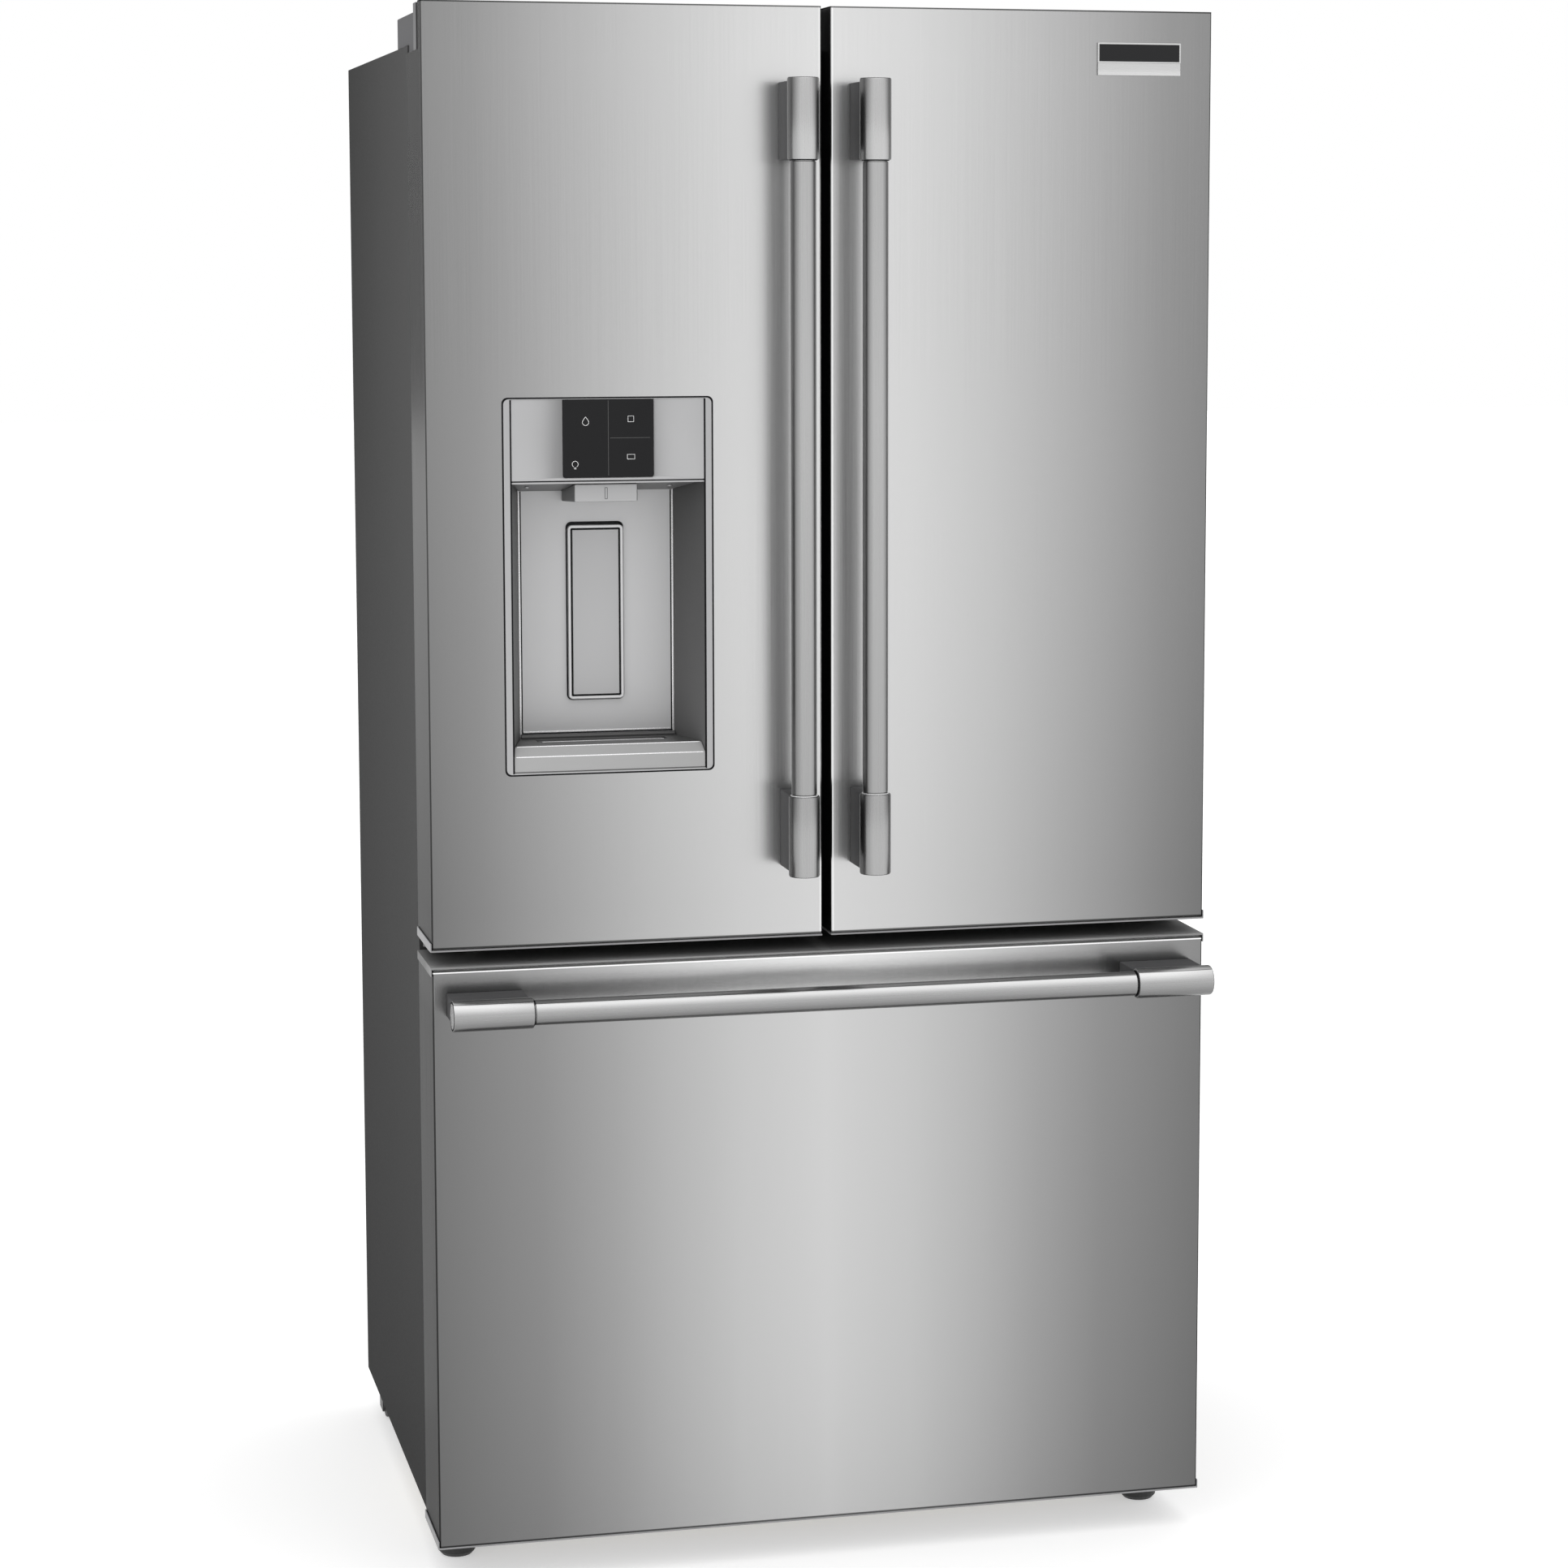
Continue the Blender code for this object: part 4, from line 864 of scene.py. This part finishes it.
# ---- badge ----
def build_badge():
    """Blank plaque: a dark panel in a light rim over a plain silver band."""
    x, y, z = spans("badge")
    split = z[0] + (z[1] - z[0]) * 0.38
    body = "right_door"
    block("badge_band", (x, y, (z[0], split)), "badge", body, "badge_metal", ["badge"],
          radius=0.0007)
    outer = (*x, split, z[1])
    rim = place("badge_rim", frame_bm(outer, inset(outer, 0.0017), *y, 0.0008, 3), "badge", body)
    round_edges(rim, 0.0004, 2)
    panel = inset(outer, 0.0016)
    block("badge_panel", (panel[:2], (y[0] + 0.0006, y[1]), panel[2:]), "badge_dark", body,
          "badge_metal", radius=0.0002, segments=1)


# ---- door tops and hinge corners ----
POCKET_WIDTH = 0.0112
POCKET_DEPTHS = (0.0188, 0.0357)  # behind the door fronts
TRIM_WIDTH = 0.004
TRIM_REAR = 0.0564
# Limits across and in depth of each door's top: main part, hinge side, and round the hinge pocket.
DOOR_TOP_PARTS = (((0.0068, 0.3626), (0.0014, 0.1158)), ((0.3626, 0.4406), (0.0014, 0.0558)),
                  ((0.4406, 0.4513), (0.0014, 0.0184)), ((0.4406, 0.4484), (0.0361, 0.0558)))


def build_hinge_corners():
    """Painted shade filling and a trim behind each door's return where the hinge cover meets it.
    """
    bottom = spans("left_hinge_cover")[2][0] - 0.0002
    for name, side in SIDES.items():
        x, _, z = spans(f"{name}_door_skin")
        edge = x[0] if side == LEFT else x[1]
        limits = (at(edge, -side * 0.0006, -side * (0.0006 + POCKET_WIDTH)),
                  at(FACE, *POCKET_DEPTHS), (bottom, z[1] - 0.0010))
        block(f"{name}_hinge_pocket", limits, "line", f"{name}_door", "black_plastic",
              radius=0.0005)
        limits = (at(edge, -side * 0.0001, -side * (0.0001 + TRIM_WIDTH)),
                  at(FACE, POCKET_DEPTHS[1] + 0.0003, TRIM_REAR), (bottom, z[1] - 0.0004))
        block(f"{name}_corner_trim", limits, "trim", f"{name}_door", "grey_plastic", radius=0.0008)


def build_door_tops():
    """Grey end caps over the doors' upper ends, in parts round the hinge corner."""
    top = spans("left_door_body")[2][1]
    for name, side in SIDES.items():
        for part, (across, depth) in enumerate(DOOR_TOP_PARTS):
            limits = (at(0, side * across[0], side * across[1]), at(FACE, *depth),
                      at(top, -0.0006, 0.0004))
            block(f"{name}_door_top_{part}", limits, "trim", f"{name}_door", "grey_plastic",
                  radius=0.0002, segments=1)


def build_screw(name, spot, way, radius, height):
    """A low domed screw head with a blind socket."""
    profile = [(0, 0), (radius, 0), (radius, height * 0.35), (radius * 0.75, height),
               (radius * 0.40, height), (radius * 0.34, height * 0.30), (0, height * 0.30)]
    place(name, lathe_bm(profile, spot, way, 20), "zinc", "cabinet")


def build_cover_screws():
    """A screw in the top of each hinge cover."""
    for name in SIDES:
        x, y, z = spans(f"{name}_hinge_cover")
        build_screw(f"{name}_cover_screw", (sum(x) / 2, y[1] - 0.030, z[1] - 0.0003), (0, 0, 1),
                    0.0050, 0.0020)


# ---- back ----
RELIEF = 0.0006  # height of what is pressed into the rear cover or screwed on it
LOUVRE_ROWS = 6
LOUVRE_FIRST = 0.100
LOUVRE_PITCH = 0.030
LOUVRE_HEIGHT = 0.009
LOUVRE_HOOD = 0.005
LOUVRE_X = (0.030, 0.360)
SEAM = LOUVRE_FIRST + LOUVRE_PITCH * LOUVRE_ROWS + 0.020
SEAM_HEIGHT = 0.014
BEADS_X = (-0.32, -0.16, 0.0, 0.16, 0.32)
BEADS_Z = (0.42, 1.62)
BEAD_HALF = 0.009
SCREW_HEIGHTS = (0.090, SEAM + SEAM_HEIGHT / 2, 0.62, 0.95, 1.28, 1.60)


def pressed(name, x, z, segments=3):
    """A form pressed out of the rear cover."""
    rear = spans("rear_cover")[1][1]
    block(name, (x, (rear - RELIEF - 0.0004, rear), z), "zinc", "cabinet", "zinc_steel",
          radius=RELIEF * 0.8, segments=segments)


def build_rear_cover():
    """Rear cover with louvres, pressed beads, a seam over the machine bay and its screws."""
    x, y, z = spans("rear_cover")
    face = y[1] - RELIEF
    sheet = place("rear_cover_fine", box_bm(x, (y[0], face), z), "zinc", "cabinet",
                  ["rear_cover"], smooth=False)
    slots = []
    for row in range(LOUVRE_ROWS):
        bottom = LOUVRE_FIRST + LOUVRE_PITCH * row
        top = bottom + LOUVRE_HEIGHT
        for side in SIDES.values():
            across = at(0, side * LOUVRE_X[0], side * LOUVRE_X[1])
            slots.append(box_bm(across, shrink(y, -0.01), (bottom, top), 0.004, 3, (1,)))
            pressed(f"louvre_hood_{row}_{side + 1}", across, (top, top + LOUVRE_HOOD), 2)
    cut(sheet, *slots)
    for index, middle in enumerate(BEADS_X):
        pressed(f"rear_bead_{index}", about(middle, BEAD_HALF), BEADS_Z)
    pressed("rear_seam", shrink(x, 0.004), (SEAM, SEAM + SEAM_HEIGHT))
    last = z[1] - 0.018
    spots = [(side * (x[1] - 0.012), height) for height in (*SCREW_HEIGHTS, last)
             for side in SIDES.values()]
    spots += [(middle, height) for height in (SCREW_HEIGHTS[1], last) for middle in BEADS_X]
    for index, (across, height) in enumerate(spots):
        build_screw(f"rear_screw_{index}", (across, face - 0.0002, height), (0, 1, 0), 0.0048,
                    RELIEF + 0.0002)


# ---- inside ----
RIM_HEIGHT = 0.007
RIM_WALL = 0.0045
DOOR_BINS = {"left_door_bin": "left_door", "right_door_upper_bin": "right_door",
             "right_door_lower_bin": "right_door"}
GRIP_HALF = 0.105
LAMP_X = (-0.130, 0.170)
LAMP_Y = (-0.120, -0.090)
OUTLET_HEIGHTS = (1.070, 1.300, 1.560)
OUTLET_HALF = (0.110, 0.040)  # half width and half height
SLOT_HALF = 0.085
SLOT_PITCH = 0.0145
SLOT_HEIGHT = 0.0055


def build_rim(node, body):
    """Thicker rim round the top of an open bin, drawer or basket."""
    x, y, z = spans(node)
    outer = box_bm(shrink(x, -0.0002), shrink(y, -0.0002), at(z[1], -RIM_HEIGHT, 0.0003),
                   0.012, 4, (2,))
    rim = place(f"{node}_rim", outer, "white", body)
    cut(rim, box_bm(shrink(x, RIM_WALL), shrink(y, RIM_WALL), (z[0], z[1] + 0.01), 0.009, 4, (2,)))
    round_edges(rim, 0.0009, 2)


def build_shelf_trims():
    """Rails along the front and rear edges of the glass shelves."""
    for node in ("upper_shelf", "middle_shelf", "crisper_cover"):
        x, y, z = spans(node)
        for end, depth in (("front", at(y[0], -0.0008, 0.0090)), ("rear", (y[1] - 0.0080, y[1]))):
            limits = (shrink(x, 0.0003), depth, at(z[1], -0.0066, 0.0016))
            block(f"{node}_{end}_trim", limits, "rail", "cabinet", "shelf_glass", radius=0.0012)


def build_drawers_inside():
    """Rims of the bins, crispers and baskets, and the grips of those that slide."""
    crispers = {f"{name}_crisper": f"{name}_crisper" for name in SIDES}
    for node, body in {**DOOR_BINS, **crispers}.items():
        build_rim(node, body)
    build_rim("upper_basket", "upper_basket")
    for node in (*crispers, "upper_basket"):
        x, y, z = spans(node)
        limits = (about(sum(x) / 2, GRIP_HALF), at(y[0], -0.0075, 0.0010),
                  at(z[1], -0.026, -0.006))
        block(f"{node}_grip", limits, "white", node, "white_liner", radius=0.0035)


def cabinet_block(name, x, y, z, look, slot="white_liner", **rounding):
    """A rounded box that stays with the cabinet."""
    return block(name, (x, y, z), look, "cabinet", slot, **rounding)


def build_fridge_details():
    """Ice maker door, lamp bar and air outlets of the upper cavity."""
    x, y, z = spans("ice_maker")
    shelf = spans("upper_shelf")[0][0]
    cabinet_block("ice_maker_door", (x[0] + 0.006, shelf - 0.006), at(y[0], -0.0045, 0.0010),
                  (z[0] + 0.008, z[1] - 0.010), "white", radius=0.0040)
    cabinet_block("ice_maker_grip", at(shelf, -0.075, -0.018),
                  at(y[0], -0.0052, -0.0035), at(z[0], 0.020, 0.036), "trim", radius=0.0007)
    _, liner_y, liner_z = spans("fridge_liner")
    ceiling = liner_z[1] - 0.002
    cabinet_block("lamp_bar", LAMP_X, LAMP_Y, at(ceiling, -0.0050, 0.0005), "lamp",
                  "clear_plastic", radius=0.0020)
    wall = liner_y[1] - 0.002
    for number, middle in enumerate(OUTLET_HEIGHTS):
        cabinet_block(f"air_outlet_{number}", about(0, OUTLET_HALF[0]),
                      at(wall, -0.0045, 0.0005), about(middle, OUTLET_HALF[1]), "white",
                      radius=0.0030)
        # dark bars paint the shade inside the outlet's slots
        for row in range(4):
            bottom = middle - 0.026 + SLOT_PITCH * row
            cabinet_block(f"air_slot_{number}_{row}", about(0, SLOT_HALF),
                          at(wall, -0.0049, -0.0042), (bottom, bottom + SLOT_HEIGHT), "dark",
                          "black_plastic", radius=0.0003, segments=1)


# ---- everything ----
def make_looks():
    """The materials that pieces share."""
    crest = TRAY[1][0] + TRAY_CHAMFER
    return {
        "bar": metal("handle_bar", 0.45, 0.26, "z", "z"),
        "bar_level": metal("handle_bar_level", 0.60, 0.24, "x", "x"),
        "mount": metal("handle_mount", 0.50, 0.24, "z", "z"),
        "mount_level": metal("handle_mount_level", 0.62, 0.24, "x", "x"),
        "bracket": moulded("handle_bracket", (0.070, 0.070, 0.072), 0.5, gloss=0.1),
        # the recess walls are painted darker towards the top, as painted shade
        "recess": graded("recess_wall_painted_shade", 0.155, 0.085, (0.95, 1.25), 0.42),
        "ceiling": moulded("recess_ceiling", (0.15, 0.15, 0.152), 0.45),
        "plate": moulded("back_plate", (0.57, 0.57, 0.575), 0.40, metallic=0.25),
        "paddle": moulded("paddle", (0.48, 0.48, 0.485), 0.40, metallic=0.25),
        "edge": moulded("light_edge", (0.62, 0.62, 0.625), 0.30, metallic=0.5),
        # painted highlights: bright strips for lit edges and for an upright tube's lower joint
        "highlight_paint": moulded("painted_highlight", (0.88, 0.88, 0.885), 0.25, strength=0.0, metallic=0.3),
        "bezel": moulded("bezel", (0.42, 0.42, 0.425), 0.34, metallic=0.6),
        "fascia": moulded("fascia", (0.44, 0.44, 0.445), 0.38, metallic=0.4),
        "spout": moulded("spout", (0.46, 0.46, 0.465), 0.38, metallic=0.3),
        # the tray is painted darker behind its crest, as painted shade in the recess
        "tray": graded("tray", 0.37, 0.09, about(crest, 0.001), 0.36, "Y", 0.5),
        "dark": moulded("dark_trim", (0.10, 0.10, 0.105), 0.5),
        # near-black lines and fillings of painted shade in gaps and along edges
        "line": moulded("painted_shade_line", (0.008, 0.008, 0.009), 0.6, gloss=0.1),
        "display": moulded("display", (0.016, 0.016, 0.017), 0.30, strength=0.0, vary=0.2,
                           gloss=0.10),
        "trim": moulded("corner_trim", (0.22, 0.22, 0.225), 0.5, gloss=0.2),
        "zinc": metal("zinc", 0.52, 0.38),
        "rail": metal("shelf_rail", 0.62, 0.30, "x"),
        "white": moulded("inside_white", (0.80, 0.80, 0.79), 0.30, 40.0, 0.03, vary=0.03),
        "lamp": moulded("lamp_lens", (0.95, 0.95, 0.93), 0.25, vary=0.02),
        "mark": moulded("display_mark", (0.95, 0.95, 0.95), 0.4, vary=0.02),
        "faint": moulded("display_line", (0.10, 0.10, 0.10), 0.4, vary=0.02),
        "badge": metal("badge_light", 0.62, 0.25, "x"),
        "badge_dark": moulded("badge_dark", (0.014, 0.014, 0.015), 0.35, gloss=0.2),
    }


def pair(name):
    """The names of the left and right nodes of a kind."""
    return [f"{side}_{name}" for side in SIDES]


def dress_outside():
    """Materials and softened edges of the fronts, case, caps and covers."""
    front = spans("drawer_skin")
    dress(pair("door_skin"), stainless("door_steel", DOOR_PAINTED_SHEEN, (0.78, 1.72),
                                       spans("left_door_skin")[2]))
    dress(["drawer_skin"], stainless("drawer_steel", DRAWER_PAINTED_SHEEN, (0.08, 0.62), front[2],
                                     spans("drawer_handle_bar")[2]))
    # the case is painted darker low down and towards the back, as painted shade
    dress(["outer_case"], graded("case_paint_and_shade", 0.015, 0.072, (0.1, 1.7), 0.6, gloss=0.04,
                                 along_y=(spans("outer_case")[1], (1.20, 0.60))), 0.0004)
    dress([*pair("door_bottom_cap"), "drawer_bottom_cap"],
          moulded("cap_plastic", (0.26, 0.26, 0.265), 0.42), 0.0004)
    # the top cap is painted darker towards the back, as painted shadow under the doors
    dress(["drawer_top_cap"], graded("top_cap_painted_shadow", 0.28, 0.170,
                                     at(front[1][0], 0.004, 0.05), 0.5, "Y"), 0.0004)
    dress(pair("hinge_cover"), moulded("cover_plastic", (0.13, 0.13, 0.135), 0.5, gloss=0.2),
          0.003, 4)
    black = moulded("black_paint", (0.018, 0.018, 0.02), 0.4)
    dress(["base_frame", "compressor"], black, 0.0005)
    dress(pair("foot"), moulded("foot", (0.02, 0.02, 0.02), 0.5), 0.0015, 3)
    dress(pair("roller"), moulded("roller", (0.05, 0.05, 0.05), 0.6), 0.0005)


def dress_inside():
    """Materials and softened edges of the liners, shelves, bins, gaskets and hinges."""
    white = moulded("liner_plastic", (0.78, 0.78, 0.77), 0.32, 40.0, 0.03, vary=0.03)
    dress(["fridge_liner", "freezer_liner"], white, 0.0015, 3)
    dress([*pair("door_body"), "drawer_body"], white, 0.003, 3)
    dress(["lower_basket", "upper_basket", "ice_maker"], white, 0.001)
    dress(["flipper_mullion"], moulded("mullion", (0.55, 0.55, 0.55), 0.45), 0.0015, 3)
    dress([*pair("door_gasket"), "drawer_gasket"],
          moulded("gasket", (0.17, 0.17, 0.175), 0.75, 300.0), 0.0015, 3)
    dress(["upper_shelf", "middle_shelf", "crisper_cover"],
          clear("shelf_glass", (0.86, 0.95, 0.93), 0.03), 0.0008)
    dress([*pair("crisper"), *DOOR_BINS], clear("clear_plastic", (0.90, 0.93, 0.95), 0.08), 0.0010)
    dress([*pair("top_hinge"), *pair("centre_hinge"), *pair("drawer_slide")], LOOKS["zinc"],
          0.0005)
    dress(["cabinet_insulation"], moulded("foam", (0.72, 0.62, 0.38), 0.9, 200.0, 0.5))


def build_handles():
    """The three handles."""
    for name in SIDES:
        build_handle(f"{name}_door", f"{name}_handle_bar",
                     [(f"{name}_handle_top_mount", 1), (f"{name}_handle_bottom_mount", -1)], 2)
    build_handle("freezer_drawer", "drawer_handle_bar",
                 [("drawer_right_mount", 1), ("drawer_left_mount", -1)], 0)


LOOKS = make_looks()
build_camera()
build_studio()
build_floor()
dress_outside()
dress_inside()
build_handles()
build_dispenser()
build_badge()
build_hinge_corners()
build_door_tops()
build_cover_screws()
build_rear_cover()
build_shelf_trims()
build_drawers_inside()
build_fridge_details()
